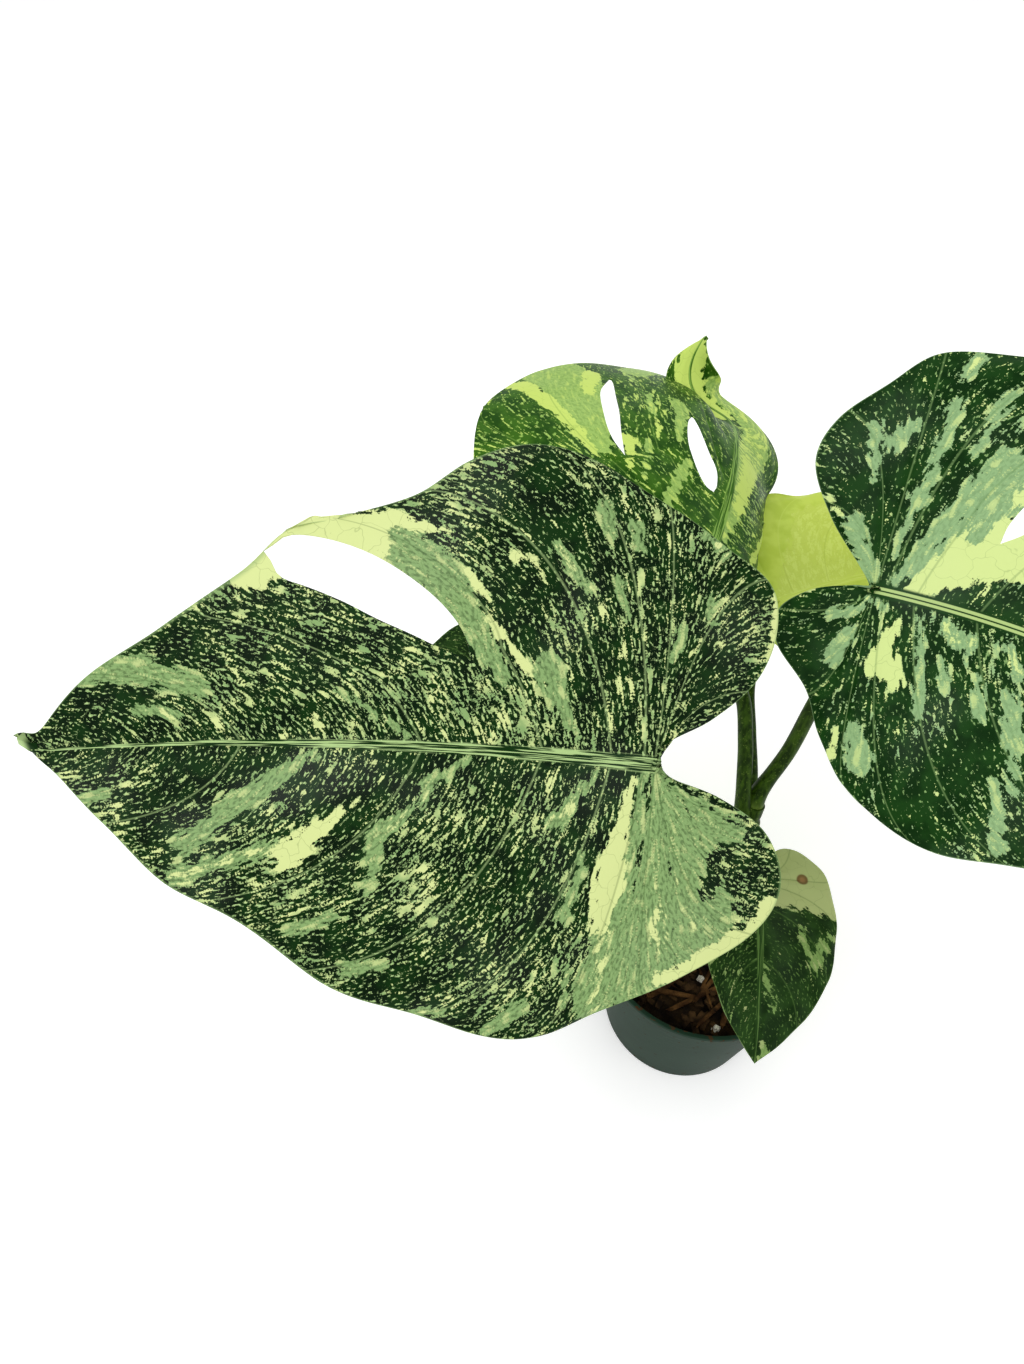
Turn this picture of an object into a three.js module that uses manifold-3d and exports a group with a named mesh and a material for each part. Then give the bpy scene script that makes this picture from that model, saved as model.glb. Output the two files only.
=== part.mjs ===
// A potted variegated climbing aroid: a nursery pot of potting mix, a short stem and six leaves.
// Millimetres, +Z up. The origin is the centre of the pot's base, the front of the plant faces -Y.

import * as THREE from 'three';
import { mergeVertices } from 'three/addons/utils/BufferGeometryUtils.js';
import Module from 'manifold-3d';

const wasm = await Module();
wasm.setup();

// Driving dimensions

const GAP = 0.3;

const POT = {
  height: 120, rimRadius: 65, baseRadius: 49.5, wall: 1.4, floor: 1.8,
  lipHeight: 3.5, lipRise: 1.1, footChamfer: 1.5,
  drainHoles: 6, drainRadius: 4, drainCircle: 31, sides: 40,
};

const MIX = {
  edgeLevel: 106, crown: 4, highest: 117,
  chips: 24, chipLength: [7, 15], chipWidth: [4, 8], chipThick: [2.4, 4],
  sticks: 6, stickLength: [22, 40], stickWidth: 3.4,
  grains: 10, grainRadius: [1.8, 3.1], clearOfStem: 15, clearOfRim: 7,
};

const STEM = {
  axis: [[0, 4, 66], [1, 6, 108], [4, 11, 146], [9, 19, 186], [14.5, 28, 214]],
  radii: [8.5, 8.2, 7.8, 7, 6], sides: 12, rings: 26,
  nodeShares: [0.42, 0.52, 0.62, 0.72, 0.82, 0.92], nodeSwell: 0.9, nodeLength: 0.022,
};

const PETIOLE = {
  baseRadius: 5.2, sheathShare: 0.16, lowRadius: 4, topRadius: 3.2,
  jointShare: 0.95, jointSwell: 0.7, jointLength: 0.03, sides: 8, rings: 15,
};

const BLADE = {
  thickness: 0.8, ribDepth: 2.2, ribWidth: 2.6, ribFade: 0.85,
  firstRow: 3, secondRow: 2.2, seat: 3,
};

// Colours as seen from a step away

const COLOUR = {
  pot: 0x4a5654, mix: 0x3b241a, stem: 0x5b7a34, petiole: 0x4d6b31,
  marbled: 0x3f6b3c, yellow: 0xbccb58, dark: 0x2d5130,
};

// The leaves. A rail lists share of the length, heading, slope and roll of the midrib in degrees.
// A margin goes from the junction to the tip: distance out from the midrib, distance along it.

const FRONT_LEAF = {
  name: 'front_left', junction: [-59.9, -35.1, 344.2], length: 245,
  rail: [[0, 180.5, 12, -41], [0.5, 177.6, -1.4, -40.7], [1, 174.7, -14.8, -41]],
  rise: [8, 8], curl: [20, 20], footStart: 0.25, footPower: 3, arch: [0.9, 0.25],
  left: [[0, 0], [-5, -8], [-10, -28], [-22, -49], [-43, -58], [-63, -49], [-80, -22], [-97, 8],
    [-109, 32], [-110, 58], [-102, 90], [-90, 126], [-66, 160], [-51, 190], [-29, 213], [-8, 234],
    [0, 252]],
  right: [[0, 0], [9, -3], [20, -20], [36, -35], [57, -41], [75, -37], [87, -15], [100, 10],
    [113, 34], [116, 55], [108, 76], [93, 95], [84, 118], [79, 138], [63, 155], [44, 184],
    [28, 214], [8, 238], [0, 252]],
  holes: [{ side: 1, at: 0.7, span: 0.2, shape: [[0.3, 0, 0], [0.36, 8, 0.5], [0.45, 14, 1.5],
    [0.6, 19, 2.6], [0.75, 20, 1.9], [0.88, 18.5, 1.2], [0.94, 16, 1], [0.97, 10, 0.5],
    [0.988, 0, 0]] }],
  drip: { aside: 7, length: 20 }, strip: [0.96, 0.988],
  columns: [[0, 1, 26]], rows: [7, 8], colour: COLOUR.marbled,
  petiole: [[3.2, 9.5, 140], [-14, 4, 186], [-42, -8, 262], [-61, -21, 318]],
};

const BACK_LEAF = {
  name: 'back_left', junction: [-26.1, 74.4, 342.9], length: 235,
  rail: [[0, 66.9, 5.5, 27], [0.5, 80.7, -16.4, 23.5], [1, 95.6, -38.6, 24]],
  curledRail: [[0, 66.9, 5.5, 27], [0.25, 73.9, -5.3, 26], [0.5, 80.7, -16.4, 24], [0.6, 98, -18, 9],
    [0.7, 158, 20, -6], [0.8, 106, 46, -30], [0.88, 50, 46, -40], [0.94, -20, 0, -30],
    [1, -40, -62, 0]],
  rise: [9, -10], curl: [32, 110], footStart: 0.3, footPower: 2, arch: [1, 0.1],
  left: [[0, 0], [-4, -8], [-14, -33], [-38, -54], [-70, -52], [-98, -36], [-117, -8], [-127, 28],
    [-126, 60], [-116, 94], [-98, 122], [-80, 148], [-60, 170], [-42, 176], [-27, 170], [-17, 156],
    [-9, 141], [-7, 152], [-7, 175], [-5, 205], [0, 238]],
  right: [[0, 0], [4, -8], [14, -30], [32, -44], [48, -36], [46, -15], [47, 15], [48, 50],
    [48, 80], [46, 108], [42, 135], [37, 160], [30, 185], [17, 212], [0, 238]],
  leftShares: [[0, 0], [0.3, 0.35], [0.55, 0.67], [0.64, 0.755], [0.8, 0.8], [0.835, 0.835],
    [0.86, 0.86], [1, 1]],
  holes: [
    { side: -1, at: 0.513, span: 0.12, shape: [[0.34, 0, -13], [0.42, 6, -10], [0.55, 9, -4],
      [0.68, 8, 0], [0.78, 3, 4], [0.82, 0, 5]] },
    { side: -1, at: 0.618, span: 0.08, shape: [[0.1, 0, -3], [0.16, 7, -2], [0.3, 12, 0],
      [0.42, 12, 0], [0.55, 7, 1], [0.62, 0, 2]] }],
  columns: [[0, 0.8, 18], [0.8, 1, 11]], rows: [11, 6], colour: COLOUR.marbled,
  petiole: [[10, 23.5, 203], [7.2, 29.6, 224], [5.2, 43, 250], [1, 55, 272], [-8, 62, 283], [-23, 70, 303]],
};

const RIGHT_LEAF = {
  name: 'front_right', junction: [39, 44.6, 357.3], length: 230,
  rail: [[0, 331.5, 9, 38], [0.5, 328.2, -7.5, 38], [1, 324.7, -24, 37]],
  rise: [8, 8], curl: [20, 20], footStart: 0.25, footPower: 3, arch: [0.9, 0.25],
  left: [[0, 0], [-9, -9], [-27, -26], [-50, -39], [-72, -35], [-90, -19], [-106, -3], [-111, 22],
    [-111, 52], [-102, 88], [-86, 124], [-62, 162], [-36, 194], [-12, 219], [0, 236]],
  right: [[0, 0], [1, -12], [6, -26], [17, -36], [32, -32], [48, -15], [66, -4], [82, 12],
    [93, 38], [95, 64], [88, 92], [76, 124], [58, 158], [36, 190], [13, 217], [0, 236]],
  holes: [{ side: -1, at: 0.62, span: 0.16, shape: [[0.2, 0, 0], [0.25, 6, 0], [0.35, 11, 0],
    [0.5, 14, 0], [0.75, 14, 0], [1, 9, 0]] }],
  columns: [[0, 1, 24]], rows: [8, 7], colour: COLOUR.marbled,
  petiole: [null, [26.5, 37.5, 248], [32.4, 43, 279], [43.5, 53, 327]],
};

const YELLOW_LEAF = {
  name: 'yellow', junction: [31, 120, 270], length: 152,
  rail: [[0, 27, 2, 4], [0.5, 22, -14, 6], [1, 15, -32, 10]],
  rise: [8, 8], curl: [20, 20], footStart: 0.25, footPower: 3, arch: [0.9, 0.25],
  heart: { left: 72, right: 62, lobe: 0.12 },
  holes: [], columns: [[0, 1, 17]], rows: [6, 6], colour: COLOUR.yellow,
  petiole: [[9, 22, 192], [14.5, 38, 210], [14, 62, 231], [14, 82, 245], [20, 101, 254]],
};

const HIDDEN_LEAF = {
  name: 'back_low', junction: [-72, 84, 228], length: 118,
  rail: [[0, 160, 6, -12], [0.5, 166, -8, -10], [1, 172, -26, -8]],
  rise: [8, 8], curl: [20, 20], footStart: 0.25, footPower: 3, arch: [0.9, 0.25],
  heart: { left: 46, right: 52, lobe: 0.22 },
  holes: [], columns: [[0, 1, 15]], rows: [5, 5], colour: COLOUR.dark,
  petiole: [[2.8, 8.5, 134], [-14, 30, 172], [-48, 66, 206], [-68, 83, 214]],
};

const SMALL_LEAF = {
  name: 'small_front', junction: [15, -7.6, 199.5], length: 92,
  rail: [[0, -99, 2, -4], [0.5, -99, -12, -3], [1, -98, -30, 0]],
  rise: [8, 8], curl: [20, 20], footStart: 0.25, footPower: 3, arch: [0.9, 0.25],
  heart: { left: 37, right: 29, lobe: 0.2 },
  holes: [], columns: [[0, 1, 15]], rows: [5, 5], colour: COLOUR.dark,
  petiole: [[2.2, 7.5, 124], [10, -5, 146], [14, -8, 172]],
};

const LEAVES = [RIGHT_LEAF, BACK_LEAF, YELLOW_LEAF, FRONT_LEAF, HIDDEN_LEAF, SMALL_LEAF];

// A plain heart shape, as shares of the half width and of the length

const HEART = [[0, 0], [0.06, -0.35], [0.16, -0.8], [0.34, -1], [0.62, -0.9], [0.84, -0.45],
  [0.96, 0.04], [1, 0.2], [0.98, 0.36], [0.88, 0.54], [0.66, 0.71], [0.36, 0.86], [0.13, 0.95],
  [0, 1]];

// Small mathematics

const rad = THREE.MathUtils.degToRad;
const clamp = THREE.MathUtils.clamp;
const lerp = THREE.MathUtils.lerp;

function seededDraws(seed) {
  let state = seed;
  return () => {
    state = (state * 1664525 + 1013904223) % 4294967296;
    return state / 4294967296;
  };
}

// Value of a smooth curve through stations, each a list whose first entry is the place

function through(stations, place) {
  const last = stations.length - 1;
  const x = clamp(place, stations[0][0], stations[last][0]);
  let i = 0;
  while (i < last - 1 && x >= stations[i + 1][0]) i += 1;
  const slope = (k, v) => {
    const a = stations[Math.max(k - 1, 0)];
    const b = stations[Math.min(k + 1, last)];
    return (b[v] - a[v]) / (b[0] - a[0]);
  };
  const step = stations[i + 1][0] - stations[i][0];
  const t = (x - stations[i][0]) / step;
  const rise = t * t * (3 - 2 * t);
  return stations[i].slice(1).map((value, k) => value * (1 - rise) + stations[i + 1][k + 1] * rise
    + step * t * (1 - t) * ((1 - t) * slope(i, k + 1) - t * slope(i + 1, k + 1)));
}

function linear(stations, place) {
  let i = 0;
  while (i < stations.length - 2 && place > stations[i + 1][0]) i += 1;
  const t = (place - stations[i][0]) / (stations[i + 1][0] - stations[i][0]);
  return lerp(stations[i][1], stations[i + 1][1], clamp(t, 0, 1));
}

// The midrib as a rail: place, direction, right hand side and upper side at any distance along it

class Rail {
  constructor(leaf, stations) {
    this.length = leaf.length;
    this.samples = 160;
    this.places = [];
    const place = new THREE.Vector3(...leaf.junction);
    let before = null;
    for (let i = 0; i <= this.samples; i += 1) {
      const frame = this.frameOf(through(stations, i / this.samples));
      if (before) {
        place.addScaledVector(before.along, this.length / this.samples / 2);
        place.addScaledVector(frame.along, this.length / this.samples / 2);
      }
      this.places.push({ place: place.clone(), ...frame });
      before = frame;
    }
  }

  frameOf([heading, slope, roll]) {
    const h = rad(heading);
    const s = rad(slope);
    const along = new THREE.Vector3(Math.cos(h) * Math.cos(s), Math.sin(h) * Math.cos(s), Math.sin(s));
    const right = new THREE.Vector3(Math.sin(h), -Math.cos(h), 0);
    const up = new THREE.Vector3().crossVectors(right, along);
    right.applyAxisAngle(along, rad(roll));
    up.applyAxisAngle(along, rad(roll));
    return { along, right, up };
  }

  // Behind the junction the rail bends up at a constant rate, and past its end it runs straight on
  at(distance) {
    const first = this.places[0];
    if (distance < 0) {
      const rate = rad(20) / 100;
      const angle = -distance * rate;
      const place = first.place.clone()
        .addScaledVector(first.along, -Math.sin(angle) / rate)
        .addScaledVector(first.up, -(1 - Math.cos(angle)) / rate);
      const along = first.along.clone().multiplyScalar(Math.cos(angle))
        .addScaledVector(first.up, Math.sin(angle));
      const up = first.up.clone().multiplyScalar(Math.cos(angle))
        .addScaledVector(first.along, -Math.sin(angle));
      return { place, along, right: first.right, up };
    }
    if (distance > this.length) {
      const last = this.places[this.samples];
      const place = last.place.clone().addScaledVector(last.along, distance - this.length);
      return { ...last, place };
    }
    const share = distance / this.length * this.samples;
    const i = Math.min(Math.floor(share), this.samples - 1);
    const a = this.places[i];
    const b = this.places[i + 1];
    const t = share - i;
    return {
      place: a.place.clone().lerp(b.place, t),
      along: a.along.clone().lerp(b.along, t),
      right: a.right.clone().lerp(b.right, t),
      up: a.up.clone().lerp(b.up, t),
    };
  }
}

// A leaf blade: flat columns run along the side veins from the midrib to the margin,
// and the flat shape is then bent along the midrib's rail and across it.

class Blade {
  constructor(leaf) {
    this.leaf = leaf;
    this.rail = new Rail(leaf, leaf.rail);
    this.curled = leaf.curledRail ? new Rail(leaf, leaf.curledRail) : null;
    this.margins = { '-1': this.measured(this.marginOf(-1)), 1: this.measured(this.marginOf(1)) };
    this.tip = this.marginAt(1, 1)[1];
  }

  marginOf(side) {
    const { heart, length } = this.leaf;
    if (!heart) return side < 0 ? this.leaf.left : this.leaf.right;
    const width = side < 0 ? heart.left : heart.right;
    return HEART.map(([out, along]) => [side * out * width, along * length * (along < 0 ? heart.lobe : 1)]);
  }

  measured(points) {
    const stations = points.map((point, i) => [i, ...point]);
    const steps = 400;
    const list = [];
    let run = 0;
    for (let i = 0; i <= steps; i += 1) {
      const [x, y] = through(stations, i / steps * (points.length - 1));
      if (i > 0) run += Math.hypot(x - list[i - 1][1], y - list[i - 1][2]);
      list.push([run, x, y]);
    }
    return list.map(([at, x, y]) => [at / run, x, y]);
  }

  marginAt(side, column) {
    const list = this.margins[side];
    const share = side < 0 && this.leaf.leftShares ? linear(this.leaf.leftShares, column) : column;
    let i = 0;
    while (i < list.length - 2 && share > list[i + 1][0]) i += 1;
    const t = clamp((share - list[i][0]) / (list[i + 1][0] - list[i][0]), 0, 1);
    return [lerp(list[i][1], list[i + 1][1], t), lerp(list[i][2], list[i + 1][2], t)];
  }

  footAt(column) {
    const { footStart, footPower } = this.leaf;
    return this.tip * clamp((column - footStart) / (1 - footStart), 0, 1) ** footPower;
  }

  veinPoint(side, column, t) {
    const [x, y] = this.marginAt(side, column);
    const foot = this.footAt(column);
    const [out, forward] = this.leaf.arch;
    const bendX = out * x;
    const bendY = foot + forward * (y - foot);
    return [
      2 * t * (1 - t) * bendX + t * t * x,
      (1 - t) ** 2 * foot + 2 * t * (1 - t) * bendY + t * t * y,
    ];
  }

  // Edge is -1 or 1 for the two edges of a hole and 0 elsewhere
  flatPoint(side, column, t, edge) {
    const [x, y] = this.veinPoint(side, column, t);
    let px = x;
    let py = y;
    for (const hole of this.leaf.holes) {
      const ends = [hole.shape[0][0], hole.shape[hole.shape.length - 1][0]];
      if (hole.side !== side || t <= ends[0] || t > ends[1]) continue;
      const [width, shift] = through(hole.shape, t);
      const offset = column - hole.at;
      const away = Math.abs(offset) < 1e-9 ? edge : Math.sign(offset);
      const fall = clamp(1 - Math.abs(offset) / hole.span, 0, 1) ** 2;
      if (fall === 0) continue;
      const step = 1e-3;
      const later = Math.min(t + step, 1);
      const [ax, ay] = this.veinPoint(side, column, later - 2 * step);
      const [bx, by] = this.veinPoint(side, column, later);
      const run = Math.hypot(bx - ax, by - ay);
      const move = side * fall * (away * Math.max(width, 0) / 2 + shift);
      px -= (by - ay) / run * move;
      py += (bx - ax) / run * move;
    }
    return [px, py];
  }

  bent(x, y, foot) {
    const { rise, curl, length } = this.leaf;
    const isRight = x >= 0;
    const start = rad(isRight ? rise[1] : rise[0]);
    const rate = rad(isRight ? curl[1] : curl[0]) / 100;
    const end = start - rate * Math.abs(x);
    const drip = this.leaf.drip ?? { aside: 0, length: 1 };
    const out = Math.sign(x) * (Math.sin(start) - Math.sin(end)) / rate
      + drip.aside * THREE.MathUtils.smoothstep(y, this.tip - drip.length, this.tip) ** 2;
    const up = (Math.cos(end) - Math.cos(start)) / rate;
    const base = this.rail.at(y);
    const point = base.place.clone().addScaledVector(base.right, out).addScaledVector(base.up, up);
    if (!this.curled) return point;
    const near = THREE.MathUtils.smoothstep(Math.abs(x), 10, 30);
    const carrier = isRight ? Math.min(y, length) : lerp(Math.min(y, length), foot, near);
    const from = this.rail.at(carrier);
    const to = this.curled.at(carrier);
    const away = point.sub(from.place);
    return to.place.clone()
      .addScaledVector(to.along, away.dot(from.along))
      .addScaledVector(to.right, away.dot(from.right))
      .addScaledVector(to.up, away.dot(from.up));
  }

  // Both halves have the same columns, but a hole has one for each of its edges
  columnList(side) {
    const list = [];
    for (const [from, to, count] of this.leaf.columns) {
      for (let i = 0; i < count; i += 1) list.push({ at: lerp(from, to, i / count), edge: 0 });
    }
    list.push({ at: 1, edge: 0 });
    for (const hole of this.leaf.holes) {
      let nearest = 0;
      list.forEach((column, i) => {
        if (Math.abs(column.at - hole.at) < Math.abs(list[nearest].at - hole.at)) nearest = i;
      });
      const { at } = hole;
      const pair = [{ at, edge: -1, open: true }, { at, edge: 1 }];
      list.splice(nearest, 1, ...(hole.side === side ? pair : [{ at, edge: 0 }]));
    }
    return list;
  }

  // Rows lie close together at the midrib, which stands out below the blade
  rowShares(side, column, foot) {
    const [x, y] = this.marginAt(side, column);
    const reach = Math.hypot(x, y - foot);
    const rows = this.leaf.rows[side < 0 ? 0 : 1];
    const first = Math.min(0.16, BLADE.firstRow / (2 * this.leaf.arch[0] * Math.max(reach, 1)));
    const second = Math.min(0.3, first * BLADE.secondRow);
    const shares = [0, first, second];
    for (let i = 1; i <= rows - 2; i += 1) shares.push(lerp(second, 1, i / (rows - 2)));
    if (this.leaf.strip && side > 0) shares.splice(shares.length - 1, 0, ...this.leaf.strip);
    return shares;
  }

  sheet() {
    const places = [];
    const ribs = [];
    const faces = [];
    for (const side of [-1, 1]) {
      const columns = this.columnList(side);
      const first = places.length;
      let rows = 0;
      for (const { at, edge } of columns) {
        const foot = this.footAt(at);
        const shares = this.rowShares(side, at, foot);
        rows = shares.length;
        for (const t of shares) {
          const [x, y] = this.flatPoint(side, at, t, edge);
          places.push(this.bent(side * Math.max(side * x, 0), y, foot));
          ribs.push(this.ribDepth(x, y));
        }
      }
      for (let c = 0; c < columns.length - 1; c += 1) {
        for (let r = 0; r < rows - 1; r += 1) {
          if (columns[c].open) continue;
          const a = first + c * rows + r;
          const quad = [[a, a + rows, a + rows + 1], [a, a + rows + 1, a + 1]];
          for (const [p, q, s] of quad) faces.push(side > 0 ? [p, q, s] : [p, s, q]);
        }
      }
    }
    return { places, ribs, faces };
  }

  ribDepth(x, y) {
    const off = y < 0 ? Math.hypot(x, y) : Math.abs(x);
    const share = clamp(y / this.leaf.length, 0, 1);
    const scale = clamp(this.leaf.length / 200, 0.6, 1);
    return BLADE.ribDepth * scale * (1 - BLADE.ribFade * share) * Math.exp(-((off / BLADE.ribWidth) ** 2));
  }

  // Both faces share the sheet's triangles, and walls close them along every free edge
  solid() {
    const { places, ribs, faces } = this.sheet();
    const key = (p) => p.toArray().map((v) => Math.round(v * 50)).join();
    const index = new Map();
    const unique = [];
    const renamed = places.map((place, i) => {
      const name = key(place);
      if (!index.has(name)) {
        index.set(name, unique.length);
        unique.push({ place, rib: ribs[i], normal: new THREE.Vector3() });
      }
      return index.get(name);
    });
    const kept = [];
    for (const face of faces) {
      const [a, b, c] = face.map((i) => renamed[i]);
      if (a === b || b === c || a === c) continue;
      const normal = new THREE.Vector3().crossVectors(
        unique[b].place.clone().sub(unique[a].place),
        unique[c].place.clone().sub(unique[a].place),
      );
      for (const i of [a, b, c]) unique[i].normal.add(normal);
      kept.push([a, b, c]);
    }
    const count = unique.length;
    const positions = [];
    for (const side of [1, -1]) {
      for (const { place, rib, normal } of unique) {
        const depth = BLADE.thickness / 2 + (side < 0 ? rib : 0);
        const out = normal.clone().normalize();
        positions.push(...place.clone().addScaledVector(out, side * depth).toArray());
      }
    }
    const triangles = [];
    const edges = new Map();
    for (const [a, b, c] of kept) {
      triangles.push(a, b, c, a + count, c + count, b + count);
      for (const [p, q] of [[a, b], [b, c], [c, a]]) edges.set(`${p},${q}`, [p, q]);
    }
    for (const [p, q] of edges.values()) {
      if (edges.has(`${q},${p}`)) continue;
      triangles.push(p, p + count, q + count, p, q + count, q);
    }
    return geometryOf(positions, triangles);
  }

  // The petiole meets the midrib's root here
  seat() {
    return this.rail.at(BLADE.seat);
  }
}

// Closed bodies and their joining

function geometryOf(positions, triangles) {
  const geometry = new THREE.BufferGeometry();
  geometry.setAttribute('position', new THREE.Float32BufferAttribute(positions, 3));
  geometry.setIndex(triangles);
  return outward(geometry);
}

function outward(geometry) {
  const position = geometry.getAttribute('position');
  const index = geometry.getIndex();
  const [a, b, c] = [new THREE.Vector3(), new THREE.Vector3(), new THREE.Vector3()];
  let volume = 0;
  for (let i = 0; i < index.count; i += 3) {
    a.fromBufferAttribute(position, index.getX(i));
    b.fromBufferAttribute(position, index.getX(i + 1));
    c.fromBufferAttribute(position, index.getX(i + 2));
    volume += a.dot(b.cross(c)) / 6;
  }
  if (volume < 0) {
    for (let i = 0; i < index.count; i += 3) {
      const first = index.getX(i);
      index.setX(i, index.getX(i + 1));
      index.setX(i + 1, first);
    }
  }
  return geometry;
}

function weldedCopy(geometry) {
  const bare = geometry.clone();
  for (const name of Object.keys(bare.attributes)) {
    if (name !== 'position') bare.deleteAttribute(name);
  }
  return outward(mergeVertices(bare, 1e-4));
}

function manifoldOf(geometry) {
  const bare = weldedCopy(geometry);
  return new wasm.Manifold(new wasm.Mesh({
    numProp: 3,
    vertProperties: new Float32Array(bare.getAttribute('position').array),
    triVerts: new Uint32Array(bare.getIndex().array),
  }));
}

function geometryFrom(solid) {
  const mesh = solid.getMesh();
  const positions = [];
  for (let i = 0; i < mesh.numVert; i += 1) {
    positions.push(...mesh.vertProperties.slice(i * mesh.numProp, i * mesh.numProp + 3));
  }
  return geometryOf(positions, Array.from(mesh.triVerts));
}

function turned(profile, sides) {
  const points = profile.map(([r, z]) => new THREE.Vector2(r, z));
  return new THREE.LatheGeometry(points, sides).rotateX(Math.PI / 2);
}

// A rod of changing radius along a curve, with flat ends
function rod(curve, radiusAt, sides, rings) {
  const frames = curve.computeFrenetFrames(rings, false);
  const positions = [];
  const triangles = [];
  for (let i = 0; i <= rings; i += 1) {
    const centre = curve.getPointAt(i / rings);
    const radius = radiusAt(i / rings);
    for (let k = 0; k < sides; k += 1) {
      const angle = 2 * Math.PI * k / sides;
      const point = centre.clone()
        .addScaledVector(frames.normals[i], radius * Math.cos(angle))
        .addScaledVector(frames.binormals[i], radius * Math.sin(angle));
      positions.push(...point.toArray());
      if (i === rings) continue;
      const next = (k + 1) % sides;
      const [a, b] = [i * sides + k, i * sides + next];
      triangles.push(a, b, b + sides, a, b + sides, a + sides);
    }
  }
  const ends = [[0, 0], [rings, 1]];
  for (const [ring, end] of ends) {
    const middle = positions.length / 3;
    positions.push(...curve.getPointAt(end).toArray());
    for (let k = 0; k < sides; k += 1) {
      const a = ring * sides + k;
      const b = ring * sides + (k + 1) % sides;
      triangles.push(...(end ? [middle, a, b] : [middle, b, a]));
    }
  }
  return geometryOf(positions, triangles);
}

// The pot: a thin moulded shell with a small rolled lip and drain holes in a flat base

function potInnerRadius(z) {
  const top = POT.rimRadius - POT.lipRise - POT.wall;
  return lerp(POT.baseRadius - POT.wall, top, clamp(z / POT.height, 0, 1));
}

function potSolid() {
  const underLip = POT.height - POT.lipHeight;
  const outer = (z) => potInnerRadius(z) + POT.wall;
  const profile = [
    [0, 0], [POT.baseRadius - POT.footChamfer, 0], [outer(POT.footChamfer), POT.footChamfer],
    [outer(underLip - POT.lipRise), underLip - POT.lipRise], [POT.rimRadius, underLip],
    [POT.rimRadius, POT.height - 0.6], [POT.rimRadius - 0.7, POT.height],
    [potInnerRadius(POT.height) + 0.4, POT.height], [potInnerRadius(POT.height - 0.8), POT.height - 0.8],
    [potInnerRadius(POT.floor), POT.floor], [0, POT.floor],
  ];
  let solid = manifoldOf(turned(profile, POT.sides));
  for (let i = 0; i < POT.drainHoles; i += 1) {
    const angle = 2 * Math.PI * (i + 0.5) / POT.drainHoles;
    const drill = new THREE.CylinderGeometry(POT.drainRadius, POT.drainRadius, POT.floor * 4, 12)
      .rotateX(Math.PI / 2)
      .translate(POT.drainCircle * Math.cos(angle), POT.drainCircle * Math.sin(angle), 0);
    solid = solid.subtract(manifoldOf(drill));
  }
  return solid;
}

// The stem: a short leaning cane with a swollen ring under each leaf

function stemRadius(share, extra = 0) {
  const stations = STEM.radii.map((radius, i) => [i / (STEM.radii.length - 1), radius]);
  const swell = STEM.nodeShares.reduce((sum, at) => sum
    + STEM.nodeSwell * Math.exp(-(((share - at) / STEM.nodeLength) ** 2)), 0);
  return through(stations, share)[0] + swell + extra;
}

const stemCurve = new THREE.CatmullRomCurve3(STEM.axis.map((point) => new THREE.Vector3(...point)));

function stemSolid(extra) {
  return manifoldOf(rod(stemCurve, (share) => stemRadius(share, extra), STEM.sides, STEM.rings));
}

// The potting mix: packed soil with bark chips, sticks and pale grains pressed into its top

function mixLevel(radius) {
  const share = clamp(radius / potInnerRadius(MIX.edgeLevel), 0, 1);
  return MIX.edgeLevel + MIX.crown * (1 - share * share);
}

function scattered(draw, body, sink) {
  const limit = potInnerRadius(MIX.edgeLevel) - MIX.clearOfRim;
  const radius = Math.sqrt(lerp(MIX.clearOfStem ** 2, limit ** 2, draw()));
  const angle = 2 * Math.PI * draw();
  body.rotateX(0.5 * (draw() - 0.5)).rotateY(0.5 * (draw() - 0.5)).rotateZ(2 * Math.PI * draw());
  return body.translate(
    STEM.axis[1][0] * 0.5 + radius * Math.cos(angle),
    STEM.axis[1][1] * 0.5 + radius * Math.sin(angle),
    mixLevel(radius) + sink,
  );
}

function mixSolid(stemClearance) {
  const bottom = POT.floor + GAP;
  const profile = [[0, bottom], [potInnerRadius(bottom) - 2 * GAP, bottom]];
  profile.push([potInnerRadius(MIX.edgeLevel) - GAP, MIX.edgeLevel]);
  for (const share of [0.75, 0.45]) {
    const radius = share * potInnerRadius(MIX.edgeLevel);
    profile.push([radius, mixLevel(radius)]);
  }
  profile.push([0, mixLevel(0)]);
  let solid = manifoldOf(turned(profile, POT.sides));
  const draw = seededDraws(11);
  const between = ([low, high]) => lerp(low, high, draw());
  for (let i = 0; i < MIX.chips; i += 1) {
    const sizes = [MIX.chipLength, MIX.chipWidth, MIX.chipThick].map(between);
    const chip = new THREE.BoxGeometry(...sizes);
    solid = solid.add(manifoldOf(scattered(draw, chip, 0.4)));
  }
  for (let i = 0; i < MIX.sticks; i += 1) {
    const length = between(MIX.stickLength);
    const stick = new THREE.BoxGeometry(length, MIX.stickWidth, MIX.stickWidth);
    const turn = 2 * Math.PI * (i + 0.5 * draw()) / MIX.sticks;
    const radius = lerp(MIX.clearOfStem + 6, potInnerRadius(MIX.edgeLevel) - MIX.clearOfRim - 6, draw());
    stick.rotateY(0.12 * (draw() - 0.5)).rotateZ(turn + Math.PI / 2)
      .translate(radius * Math.cos(turn), radius * Math.sin(turn), mixLevel(radius) + 1);
    solid = solid.add(manifoldOf(stick));
  }
  for (let i = 0; i < MIX.grains; i += 1) {
    const grain = new THREE.IcosahedronGeometry(between(MIX.grainRadius), 0);
    solid = solid.add(manifoldOf(scattered(draw, grain, 0.5)));
  }
  const room = [[0, bottom], [potInnerRadius(bottom) - 2 * GAP, bottom],
    [potInnerRadius(MIX.highest) - GAP, MIX.highest], [0, MIX.highest]];
  return solid.intersect(manifoldOf(turned(room, POT.sides))).subtract(stemClearance);
}

// A petiole grows from the stem, cut to fit round it, and ends under its blade

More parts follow.
